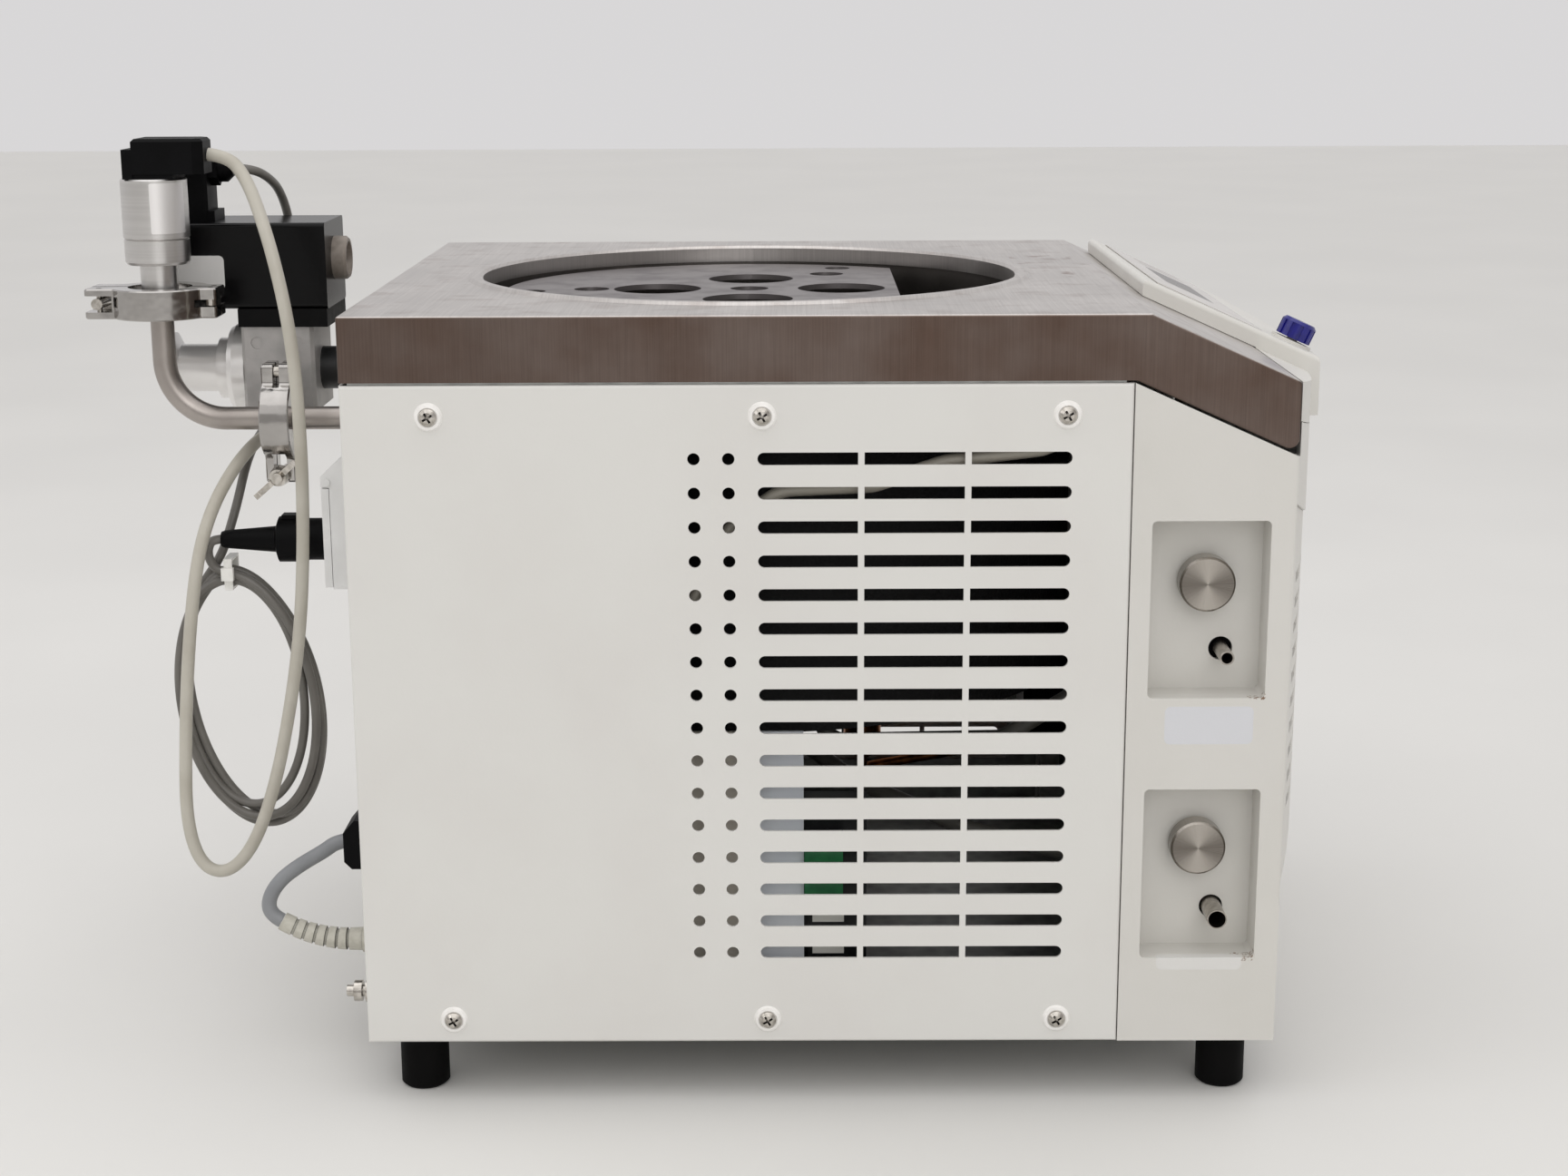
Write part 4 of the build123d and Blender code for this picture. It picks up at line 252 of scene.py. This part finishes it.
# ---------------------------------------------------------------- plain finishes
# two tones, roughness, metallic, patches (mm, from, to), grain (mm), its depth (mm), its stretch
PLAIN = {
    # white laminate: the bench, matt with broad faint clouds
    "bench_laminate": ("#dcdbd8", "#dfdedb", 0.6, 0, (400, 0.35, 0.65), 3.0, 0.01, (1, 1, 1)),
    # polyester powder coat: an even warm white with the faintest orange peel
    "powder_coat": ("#dbdad6", "#d8d6d2", 0.4, 0, (70, 0.4, 0.75), 1.6, 0.012, (1, 1, 1)),
    # satin stainless: drawn walls that show soft upright marks
    "satin_stainless": ("#8d8884", "#7b7672", 0.34, 1, (30, 0.35, 0.65), 0.8, 0.006, (1, 1, 30)),
    # bead-blasted tube: dull warm grey, a little darker where it was handled
    "blasted_stainless": ("#aca5a0", "#a09994", 0.33, 1, (24, 0.35, 0.65), 0.5, 0.004, (1, 1, 1)),
    # rolled stainless: cool grey plate with dried water marks and lines across
    "rolled_stainless": ("#8f8a8a", "#7d7879", 0.42, 1, (22, 0.42, 0.66), 1.0, 0.008, (40, 1, 40)),
    # polished casting: near a mirror, with gentle waves that break up what it shows
    "polished_aluminium": ("#b6b3b0", "#a9a6a3", 0.14, 1, (14, 0.35, 0.65), 8.0, 0.14, (1, 1, 1)),
    # aluminium turned about the port's axis: bright and silky, with tool rings
    "turned_port": ("#f2f0ee", "#eae8e6", 0.3, 0.5, (40, 0.35, 0.65), 0.7, 0.003, (60, 1, 60)),
    # pressed aluminium: dull fins and blades
    "pressed_aluminium": ("#a9abad", "#8b8d8f", 0.4, 1, (12, 0.35, 0.65), 1.0, 0.01, (1, 1, 20)),
    # drawn copper: warm, gone brown in patches
    "drawn_copper": ("#b0703f", "#6e4730", 0.34, 1, (14, 0.4, 0.65), 0.8, 0.004, (1, 1, 1)),
    # lacquered steel: satin black with dust in its clouds
    "black_lacquer": ("#050506", "#0a0b0c", 0.5, 0, (20, 0.45, 0.75), 1.2, 0.01, (1, 1, 1)),
    # phosphated steel: dull black plate under the magnet
    "black_phosphate": ("#09090a", "#101010", 0.5, 0, (10, 0.4, 0.7), 0.8, 0.01, (1, 1, 1)),
    # glass-filled nylon: black connectors and plugs with a fine spark grain
    "black_nylon": ("#040405", "#08080a", 0.5, 0, (18, 0.4, 0.7), 1.0, 0.02, (1, 1, 1)),
    # vulcanised rubber: matt black feet
    "moulded_rubber": ("#040404", "#090808", 0.65, 0, (12, 0.4, 0.7), 1.5, 0.03, (1, 1, 1)),
    # acetal: clean white cups round the screws
    "white_acetal": ("#f3f1ee", "#e9e7e3", 0.32, 0, (5, 0.4, 0.7), 1.0, 0.01, (1, 1, 1)),
    # nylon strap: clean warm white
    "white_nylon": ("#efeeea", "#e3e2dd", 0.34, 0, (5, 0.4, 0.7), 0.8, 0.02, (1, 1, 1)),
    # injection-moulded socket box: light cool grey and semi-gloss
    "light_grey_abs": ("#e0e0df", "#d9d9d8", 0.3, 0, (20, 0.4, 0.7), 1.0, 0.01, (1, 1, 1)),
    # grey-brown nylon: the round plug in the magnet's end
    "grey_brown_nylon": ("#8a8178", "#766d64", 0.48, 0, (6, 0.4, 0.7), 0.9, 0.03, (1, 1, 1)),
    # tinted polycarbonate: the glossy deep blue dial
    "blue_polycarbonate": ("#17167e", "#121163", 0.2, 0, (8, 0.4, 0.7), 2.0, 0.006, (1, 1, 1)),
    # soft PVC: the cream jacket of the gauge cable
    "cream_pvc": ("#bebaaf", "#b1aca0", 0.4, 0, (30, 0.4, 0.7), 1.0, 0.01, (1, 1, 1)),
    # PVC: the mid-grey jacket of the valve cable
    "grey_pvc": ("#6f6c67", "#605d58", 0.36, 0, (30, 0.4, 0.7), 1.0, 0.01, (1, 1, 1)),
    # PVC: the cooler grey of the power lead
    "blue_grey_pvc": ("#8a8c8f", "#7d7f82", 0.4, 0, (30, 0.4, 0.7), 1.0, 0.01, (1, 1, 1)),
}


# blacks that stay black in strong light, because they mirror less of it
DULL = ("black_lacquer", "black_phosphate", "black_nylon", "moulded_rubber")
DULL_SPECULAR = 0.1


def plain_finish(name):
    """Two close tones in patches, a little rougher in one of them, over a fine relief."""
    colour, second, rough, metallic, (patch, low, high), grain, depth, stretch = PLAIN[name]
    material, tree, skin, place = new_material(name, colour, rough, metallic)
    if name in DULL:
        skin.inputs["Specular IOR Level"].default_value = DULL_SPECULAR
    patches = pattern(tree, place, patch, low, high, 3.0)
    tree.links.new(layered(tree, colour, (second, patches)), skin.inputs["Base Color"])
    add(tree, "ShaderNodeMapRange", {"Value": patches, "To Min": rough - 0.03, "To Max": rough + 0.06},
        to=skin.inputs["Roughness"])
    relief = pattern(tree, place, grain, 0.3, 0.7, 1.0, stretch)
    add(tree, "ShaderNodeBump", {"Height": relief, "Distance": depth * MM}, to=skin.inputs["Normal"])
    return material


def recess_shaded_finish(name, colour, second, rough, metallic, reach, painted_shade):
    """Surface with painted shade in its recesses, up to reach millimetres deep."""
    material, tree, skin, place = new_material(name, colour, rough, metallic)
    open_sky = add(tree, "ShaderNodeAmbientOcclusion", {"Distance": reach * MM}, samples=8, only_local=True)
    # painted shade: the colour goes dark wherever ambient occlusion finds a recess
    recess_shade = add(tree, "ShaderNodeMapRange", {"Value": open_sky.outputs["AO"], "From Min": 0.45,
                                              "From Max": 0.8, "To Min": 1.0, "To Max": 0.0})
    patches = pattern(tree, place, 3, 0.35, 0.7, 2.0)
    tree.links.new(layered(tree, colour, (second, patches), (painted_shade, recess_shade)), skin.inputs["Base Color"])
    relief = pattern(tree, place, 1.0, 0.3, 0.7, 1.0)
    add(tree, "ShaderNodeBump", {"Height": relief, "Distance": 0.004 * MM}, to=skin.inputs["Normal"])
    return material


def nickel_screws():
    """Nickel-plated screws: bright heads with painted shade in their crosses."""
    return recess_shaded_finish("nickel_plate", "#cfcac3", "#a8a39b", 0.2, 1.0, 1.6, "#1c1a18")


def cream_sleeve():
    """Cream rubber sleeve, gone a little yellow, with painted shade between its ribs."""
    return recess_shaded_finish("cream_rubber", "#c6c3b8", "#b8b5a9", 0.5, 0.0, 2.2, "#35322d")


# ---------------------------------------------------------------- finishes with parts of their own
def moulded_front():
    """Painted moulding of the front, with two bare label plates and rust bled from the pockets' corners."""
    paint = "#d4d2cd"
    material, tree, skin, place = new_material("painted_moulding", paint, 0.42)
    colour = layered(tree, paint, ("#d0cec8", pattern(tree, place, 60, 0.4, 0.75, 3.0)))
    rust = pattern(tree, place, 1.4, 0.5, 0.62, 3.0)
    for low, high in (((-196, -220, 212), (-190, -211, 217)), ((-196, -220, 75), (-188, -208, 81))):
        corner = region(tree, place, low, high, 2)
        specks = add(tree, "ShaderNodeMath", {0: rust, 1: corner}, operation="MULTIPLY")
        colour = layered(tree, colour, ("#7d6450", specks))
    label = region(tree, place, (-200, -214.1, 189.7), (-190, -170.3, 209.1), 3.0)
    film = region(tree, place, (-200, -213.0, 70.5), (-190, -170.0, 87.0), 3.0)
    colour = layered(tree, colour, ("#d3d4d8", label), ("#dad9d6", film))
    tree.links.new(colour, skin.inputs["Base Color"])
    plates = add(tree, "ShaderNodeMath", {0: label, 1: film}, operation="MAXIMUM")
    add(tree, "ShaderNodeMapRange", {"Value": plates, "To Min": 0.42, "To Max": 0.26},
        to=skin.inputs["Roughness"])
    relief = pattern(tree, place, 1.4, 0.3, 0.7, 1.0)
    add(tree, "ShaderNodeBump", {"Height": relief, "Distance": 0.012 * MM}, to=skin.inputs["Normal"])
    return material


def brushed_deck():
    """Brushed stainless deck: pale and marked on top; skirts brushed upright, brown-grey as a painted
    reflection, paler where painted light falls in the opening.
    """
    pale = "#c3beba"
    material, tree, skin, place = new_material("brushed_stainless", pale, 0.36, 1.0)
    facing = add(tree, "ShaderNodeNewGeometry").outputs["Normal"]
    upward = add(tree, "ShaderNodeSeparateXYZ", {0: facing}).outputs["Z"]
    level = add(tree, "ShaderNodeMapRange", {"Value": upward, "From Min": 0.35, "From Max": 0.8})
    clouds = pattern(tree, place, 55, 0.35, 0.7, 5.0)
    spots = pattern(tree, place, 15, 0.53, 0.66, 6.0, (1, 1.6, 1))
    drips = add(tree, "ShaderNodeMath", {0: spots, 1: 0.35}, operation="MULTIPLY")
    wiped = pattern(tree, place, 16, 0.58, 0.68, 6.0)
    front = region(tree, place, (-45, -158, 398), (115, -112, 410), 12)
    stains = add(tree, "ShaderNodeMath", {0: wiped, 1: front}, operation="MULTIPLY")
    top = layered(tree, pale, ("#d2cecb", clouds), ("#a39791", drips), ("#94817a", stains))
    # painted light: the opening's inner walls get a paler copy of the skirt tone, for their lit walls and
    # bright rim
    lit_opening_wall = region(tree, place, (-165, -125, 380), (165, 200, 410))
    # painted reflection: the skirts' brown-grey stands for the dim room that they mirror; blotches vary it at
    # random
    skirt_blotches = pattern(tree, place, 45, 0.3, 0.7, 4.0)
    painted_skirt_reflection = layered(tree, "#5e4e46", ("#6e625c", skirt_blotches), ("#aeaaa7", lit_opening_wall))
    # the top's tone where a face looks up, the painted reflection where a face looks sideways
    colour = layered(tree, painted_skirt_reflection, (top, level))
    across = pattern(tree, place, 0.9, 0.3, 0.7, 3.0, (60, 1, 60))
    upright = pattern(tree, place, 0.7, 0.3, 0.7, 3.0, (1, 1, 60))
    lines = add(tree, "ShaderNodeMix", {0: level, 2: upright, 3: across})
    streak = add(tree, "ShaderNodeMapRange", {"Value": lines, "To Min": 0.92, "To Max": 1.08})
    add(tree, "ShaderNodeVectorMath", {0: colour, "Scale": streak}, to=skin.inputs["Base Color"],
        operation="SCALE")
    add(tree, "ShaderNodeMapRange", {"Value": clouds, "To Min": 0.3, "To Max": 0.44},
        to=skin.inputs["Roughness"])
    add(tree, "ShaderNodeBump", {"Height": lines, "Distance": 0.01 * MM}, to=skin.inputs["Normal"])
    return material


def galvanised_sheet():
    """Galvanised sheet with its grey spangle; the peg under the floor is white nylon."""
    zinc = "#8f908e"
    material, tree, skin, place = new_material("galvanised_sheet", zinc, 0.45, 1.0)
    scaled = add(tree, "ShaderNodeVectorMath", {0: place, "Scale": 1 / (9 * MM)}, operation="SCALE")
    spangle = add(tree, "ShaderNodeTexVoronoi", {"Vector": scaled, "Scale": 1.0})
    peg = region(tree, place, (-190, -50, 20), (-160, -20, 31.9))
    tree.links.new(layered(tree, zinc, ("#b3b4b1", spangle), ("#efede8", peg)), skin.inputs["Base Color"])
    add(tree, "ShaderNodeMath", {0: 1.0, 1: peg}, to=skin.inputs["Metallic"], operation="SUBTRACT")
    return material


def faced_steel():
    """Faced stainless knob: painted highlights, in fans of light round the middle of its turned face."""
    steel = "#655f59"
    material, tree, skin, _ = new_material("faced_stainless", steel, 0.24, 1.0, Anisotropic=0.7)
    box = add(tree, "ShaderNodeTexCoord").outputs["Generated"]
    centred = add(tree, "ShaderNodeVectorMath", {0: box, 1: (0.5, 0.5, 0.5)}, operation="SUBTRACT")
    parts = add(tree, "ShaderNodeSeparateXYZ", {0: centred}).outputs
    angle = add(tree, "ShaderNodeMath", {0: parts["Y"], 1: parts["Z"]}, operation="ARCTAN2")
    double = add(tree, "ShaderNodeMath", {0: angle, 1: 2.0}, operation="MULTIPLY")
    fans = add(tree, "ShaderNodeMath", {0: double}, operation="COSINE")
    turns = add(tree, "ShaderNodeMath", {0: angle, 1: 14.0}, operation="MULTIPLY")
    rays = add(tree, "ShaderNodeTexNoise", {"W": turns, "Detail": 3.0}, noise_dimensions="1D")
    tone = add(tree, "ShaderNodeMath", {0: fans, 1: 0.2, 2: rays}, operation="MULTIPLY_ADD")
    painted_fan_light = add(tree, "ShaderNodeMapRange", {"Value": tone, "From Min": 0.25, "From Max": 0.8})
    # painted highlight: the fans lighten the colour itself
    tree.links.new(layered(tree, steel, ("#bdb7af", painted_fan_light)), skin.inputs["Base Color"])
    add(tree, "ShaderNodeTangent", to=skin.inputs["Tangent"], direction_type="RADIAL", axis="X")
    return material


def turned_nozzle():
    """Turned stainless nozzle with tool rings round its axis."""
    steel = "#b5b0a8"
    material, tree, skin, place = new_material("turned_stainless", steel, 0.28, 1.0)
    colour = layered(tree, steel, ("#98928a", pattern(tree, place, 3, 0.35, 0.65, 3.0)))
    tree.links.new(colour, skin.inputs["Base Color"])
    relief = pattern(tree, place, 0.5, 0.3, 0.7, 1.0, (1, 30, 30))
    add(tree, "ShaderNodeBump", {"Height": relief, "Distance": 0.006 * MM}, to=skin.inputs["Normal"])
    return material


def valve_casting():
    """Sand-cast aluminium valve body; its boss through the wall is black."""
    cast = "#b5b2b0"
    material, tree, skin, place = new_material("sand_cast_aluminium", cast, 0.46, 0.4)
    boss = region(tree, place, (-60, 100, 300), (90, 278.3, 400))
    patches = pattern(tree, place, 12, 0.4, 0.7, 3.0)
    tree.links.new(layered(tree, cast, ("#a5a3a1", patches), ("#121213", boss)), skin.inputs["Base Color"])
    add(tree, "ShaderNodeMapRange", {"Value": boss, "To Min": 0.4, "To Max": 0.0}, to=skin.inputs["Metallic"])
    relief = pattern(tree, place, 1.2, 0.3, 0.7, 2.0)
    add(tree, "ShaderNodeBump", {"Height": relief, "Distance": 0.03 * MM}, to=skin.inputs["Normal"])
    return material


def magnet_epoxy():
    """Glossy black epoxy housing with a bare pale label plate on the side with the pockets."""
    epoxy = "#040405"
    material, tree, skin, place = new_material("glossy_epoxy", epoxy, 0.26, Specular_IOR_Level=0.18)
    label = region(tree, place, (-20, 325, 396.5), (-10, 363, 415.5), 3.0)
    patches = pattern(tree, place, 12, 0.4, 0.7, 3.0)
    tree.links.new(layered(tree, epoxy, ("#070708", patches), ("#d6d5d3", label)), skin.inputs["Base Color"])
    relief = pattern(tree, place, 2.5, 0.3, 0.7, 1.0)
    add(tree, "ShaderNodeBump", {"Height": relief, "Distance": 0.012 * MM}, to=skin.inputs["Normal"])
    return material


def gauge_silk():
    """Turned gauge housing: silk bands, and a smoother bare plate where its rating is."""
    silk = "#cdcbc9"
    material, tree, skin, place = new_material("turned_gauge", silk, 0.3, 1.0)
    label = region(tree, place, (-80, 326, 431), (-45, 352, 457.5), 1.0)
    bands = pattern(tree, place, 1.6, 0.35, 0.65, 3.0, (60, 60, 1))
    tree.links.new(layered(tree, silk, ("#d5d3d1", bands), ("#ebe9e8", label)), skin.inputs["Base Color"])
    add(tree, "ShaderNodeMapRange", {"Value": label, "To Min": 0.3, "To Max": 0.42},
        to=skin.inputs["Roughness"])
    relief = pattern(tree, place, 0.5, 0.3, 0.7, 1.0, (60, 60, 1))
    add(tree, "ShaderNodeBump", {"Height": relief, "Distance": 0.008 * MM}, to=skin.inputs["Normal"])
    return material


def circuit_board():
    """Green terminal board with a dark carrier, white blocks and grey-beige wiring."""
    carrier = "#141618"
    material, tree, skin, place = new_material("green_board", carrier, 0.4)
    green = region(tree, place, (-190, -16, 103.6), (-176.1, 9, 136))
    leaf = layered(tree, "#2c7a4a", ("#236240", pattern(tree, place, 10, 0.4, 0.7, 3.0)))
    elsewhere = add(tree, "ShaderNodeMath", {0: 1.0, 1: green}, operation="SUBTRACT")
    colour = layered(tree, leaf, (carrier, elsewhere))
    for low in (76, 93):
        block = region(tree, place, (-190, -30, low - 0.5), (-181.5, 10, low + 9.5))
        colour = layered(tree, colour, ("#d9d8d2", block))
    board = region(tree, place, (-177, -60, 50), (-170, 92, 165))
    loom = region(tree, place, (-195, -150, 141), (-160, 100, 400))
    wires = add(tree, "ShaderNodeMath", {0: loom, 1: board}, operation="SUBTRACT", use_clamp=True)
    tree.links.new(layered(tree, colour, ("#a29d92", wires)), skin.inputs["Base Color"])
    relief = pattern(tree, place, 1.2, 0.3, 0.7, 1.0)
    add(tree, "ShaderNodeBump", {"Height": relief, "Distance": 0.03 * MM}, to=skin.inputs["Normal"])
    return material


def valve_brass():
    """Machined brass valves with a black seal on the front; behind them, grey hoses."""
    brass = "#9d7c40"
    material, tree, skin, place = new_material("machined_brass", brass, 0.3, 1.0)
    hose = region(tree, place, (-131.5, -230, 60), (60, 80, 300))
    seal = region(tree, place, (-173, -230, 60), (-171.3, -150, 300))
    lines = pattern(tree, place, 0.8, 0.3, 0.7, 2.0, (1, 30, 30))
    colour = layered(tree, brass, ("#c39d57", lines), ("#7b7973", hose), ("#0a0a0a", seal))
    tree.links.new(colour, skin.inputs["Base Color"])
    add(tree, "ShaderNodeMath", {0: 1.0, 1: hose}, to=skin.inputs["Metallic"], operation="SUBTRACT")
    return material


def vent_plate():
    """Painted plate behind the vents: blue-grey, and beige towards the rear."""
    paint = "#eef2f8"
    material, tree, skin, place = new_material("blue_grey_paint", paint, 0.42)
    beige = region(tree, place, (-250, 32, 0), (250, 300, 400))
    patches = pattern(tree, place, 25, 0.4, 0.7, 2.0)
    tree.links.new(layered(tree, paint, ("#e2e7ef", patches), ("#f3ece0", beige)), skin.inputs["Base Color"])
    relief = pattern(tree, place, 1.4, 0.3, 0.7, 1.0)
    add(tree, "ShaderNodeBump", {"Height": relief, "Distance": 0.01 * MM}, to=skin.inputs["Normal"])
    return material


def closed_cell_foam():
    """Black rubber foam: matt, with a skin of small cells."""
    material, tree, skin, place = new_material("closed_cell_foam", "#0c0c0d", 0.85)
    scaled = add(tree, "ShaderNodeVectorMath", {0: place, "Scale": 1 / (2 * MM)}, operation="SCALE")
    cells = add(tree, "ShaderNodeTexVoronoi", {"Vector": scaled, "Scale": 1.0})
    add(tree, "ShaderNodeBump", {"Height": cells, "Distance": 0.4 * MM}, to=skin.inputs["Normal"])
    return material


def keypad_film():
    """Polyester keypad film: pale grey, with a dark display window and key fields of another grey."""
    film = "#c9c5c1"
    material, tree, skin, place = new_material("keypad_film", film, 0.26)
    window = region(tree, place, (4, -222, 300), (92, -195, 500), 2.0)
    patches = pattern(tree, place, 20, 0.4, 0.7, 2.0)
    colour = layered(tree, film, ("#c1bdb9", patches), ("#4d4845", window))
    for x in (106, 128):
        key = region(tree, place, (x, -222, 300), (x + 16, -195, 500), 3.0)
        colour = layered(tree, colour, ("#a8a29d", key))
    tree.links.new(colour, skin.inputs["Base Color"])
    relief = pattern(tree, place, 0.9, 0.3, 0.7, 1.0)
    add(tree, "ShaderNodeBump", {"Height": relief, "Distance": 0.008 * MM}, to=skin.inputs["Normal"])
    return material


SPECIAL = {
    "nickel_plate": nickel_screws, "cream_rubber": cream_sleeve, "blue_grey_paint": vent_plate,
    "painted_moulding": moulded_front, "brushed_stainless": brushed_deck,
    "galvanised_sheet": galvanised_sheet, "faced_stainless": faced_steel, "turned_stainless": turned_nozzle,
    "sand_cast_aluminium": valve_casting, "glossy_epoxy": magnet_epoxy, "gauge_silk": gauge_silk,
    "green_board": circuit_board, "machined_brass": valve_brass, "closed_cell_foam": closed_cell_foam,
    "keypad_film": keypad_film}

FINISH_OF_SLOT = {
    "cream_paint": "powder_coat", "cream_moulding": "painted_moulding", "brushed_deck": "brushed_stainless",
    "pot_steel": "satin_stainless", "tube_steel": "blasted_stainless", "plate_steel": "rolled_stainless",
    "zinc_pan": "galvanised_sheet", "zinc_frame": "galvanised_sheet", "nickel_screws": "nickel_plate",
    "cast_clamp": "polished_aluminium", "gauge_aluminium": "gauge_silk", "port_aluminium": "turned_port",
    "fin_aluminium": "pressed_aluminium", "turned_steel": "faced_stainless", "copper": "drawn_copper",
    "valve_brass": "machined_brass", "valve_grey": "sand_cast_aluminium", "black_can": "black_lacquer",
    "black_metal": "black_phosphate", "black_gloss": "glossy_epoxy", "black_plastic": "black_nylon",
    "black_rubber": "moulded_rubber", "foam": "closed_cell_foam", "white_cups": "white_acetal",
    "white_nylon": "white_nylon", "light_grey_plastic": "light_grey_abs",
    "grey_brown_plastic": "grey_brown_nylon", "blue_grey_plate": "blue_grey_paint",
    "green_board": "green_board", "grey_film": "keypad_film", "blue_knob": "blue_polycarbonate",
    "cream_jacket": "cream_pvc", "grey_jacket": "grey_pvc", "cream_sleeve": "cream_rubber"}

# pieces whose finish isn't their slot's: the slot's painted fans of light suit only the knobs
FINISH_OF_NODE = {"aeration_nozzle": "turned_stainless", "drain_nozzle": "turned_stainless"}


def dress(extra):
    """Gives every CAD node and added piece its finish."""
    made = {}

    def finish(name):
        if name not in made:
            made[name] = SPECIAL[name]() if name in SPECIAL else plain_finish(name)
        return made[name]
    slots = {entry["node"]: entry["material_slot"] for entry in frame["record"]["subparts"]}
    for name, piece in nodes.items():
        piece.data.materials.clear()
        piece.data.materials.append(finish(FINISH_OF_NODE.get(name) or FINISH_OF_SLOT[slots[name]]))
    for piece, name in extra.items():
        piece.data.materials.append(finish(name))


# ---------------------------------------------------------------- stage
ROOM_BEFORE = (0.46, 0.445, 0.435, 1)       # linear tones of the surround before the object and behind it
ROOM_BEHIND = (0.69, 0.68, 0.685, 1)
PANELS = (                                  # name, place, turn in degrees, width and height, watts
    ("top_panel", (-0.4, 0.1, 2.2), (0, -10, 0), (2.6, 2.6), 10.0),
    ("side_panel", (-2.8, -0.5, 1.5), (0, -64, 12), (2.2, 1.8), 14.5),
    ("rear_panel", (-0.9, 2.3, 1.6), (-58, 0, 0), (1.8, 1.2), 6.0))
FLOOR_REACH = 9.0                           # metres
FLOOR_GAP = 0.0002                          # below the feet, so that no face lies in another


def set_surround():
    """Surround that is pale behind the object and a little dimmer before it."""
    world = bpy.data.worlds.new("surround")
    bpy.context.scene.world = world
    world.use_nodes = True
    tree = world.node_tree
    along_x = add(tree, "ShaderNodeSeparateXYZ", {0: add(tree, "ShaderNodeTexCoord")}).outputs["X"]
    behind = add(tree, "ShaderNodeMapRange", {"Value": along_x, "From Min": -0.5, "From Max": 0.35})
    tree.links.new(layered(tree, ROOM_BEFORE, (ROOM_BEHIND, behind)), tree.nodes["Background"].inputs["Color"])


def hang_lamps():
    """Soft panels above, before and behind, and a broad sun that stands for a bright ceiling."""
    for name, place, turn, size, power in PANELS:
        data = bpy.data.lights.new(name, "AREA")
        data.shape = "RECTANGLE"
        data.size, data.size_y = size
        data.energy = power
        lamp = bpy.data.objects.new(name, data)
        lamp.location = place
        lamp.rotation_euler = [radians(angle) for angle in turn]
        bpy.context.scene.collection.objects.link(lamp)
    data = bpy.data.lights.new("ceiling", "SUN")
    data.energy = 0.9
    data.angle = radians(100)
    lamp = bpy.data.objects.new("ceiling", data)
    lamp.rotation_euler = (0, radians(-22), 0)
    bpy.context.scene.collection.objects.link(lamp)


def lay_floor():
    """Plain pale floor under the feet."""
    mesh = bpy.data.meshes.new("floor")
    corners = [(x * FLOOR_REACH, y * FLOOR_REACH, 0) for x, y in ((-1, -1), (1, -1), (1, 1), (-1, 1))]
    mesh.from_pydata(corners, [], [(0, 1, 2, 3)])
    floor = bpy.data.objects.new("floor", mesh)
    floor.location.z = -FLOOR_GAP
    bpy.context.scene.collection.objects.link(floor)
    floor.data.materials.append(plain_finish("bench_laminate"))


bpy.context.scene.view_settings.view_transform = "Standard"
place_camera()
set_surround()
hang_lamps()
lay_floor()
dress(lay_cords())
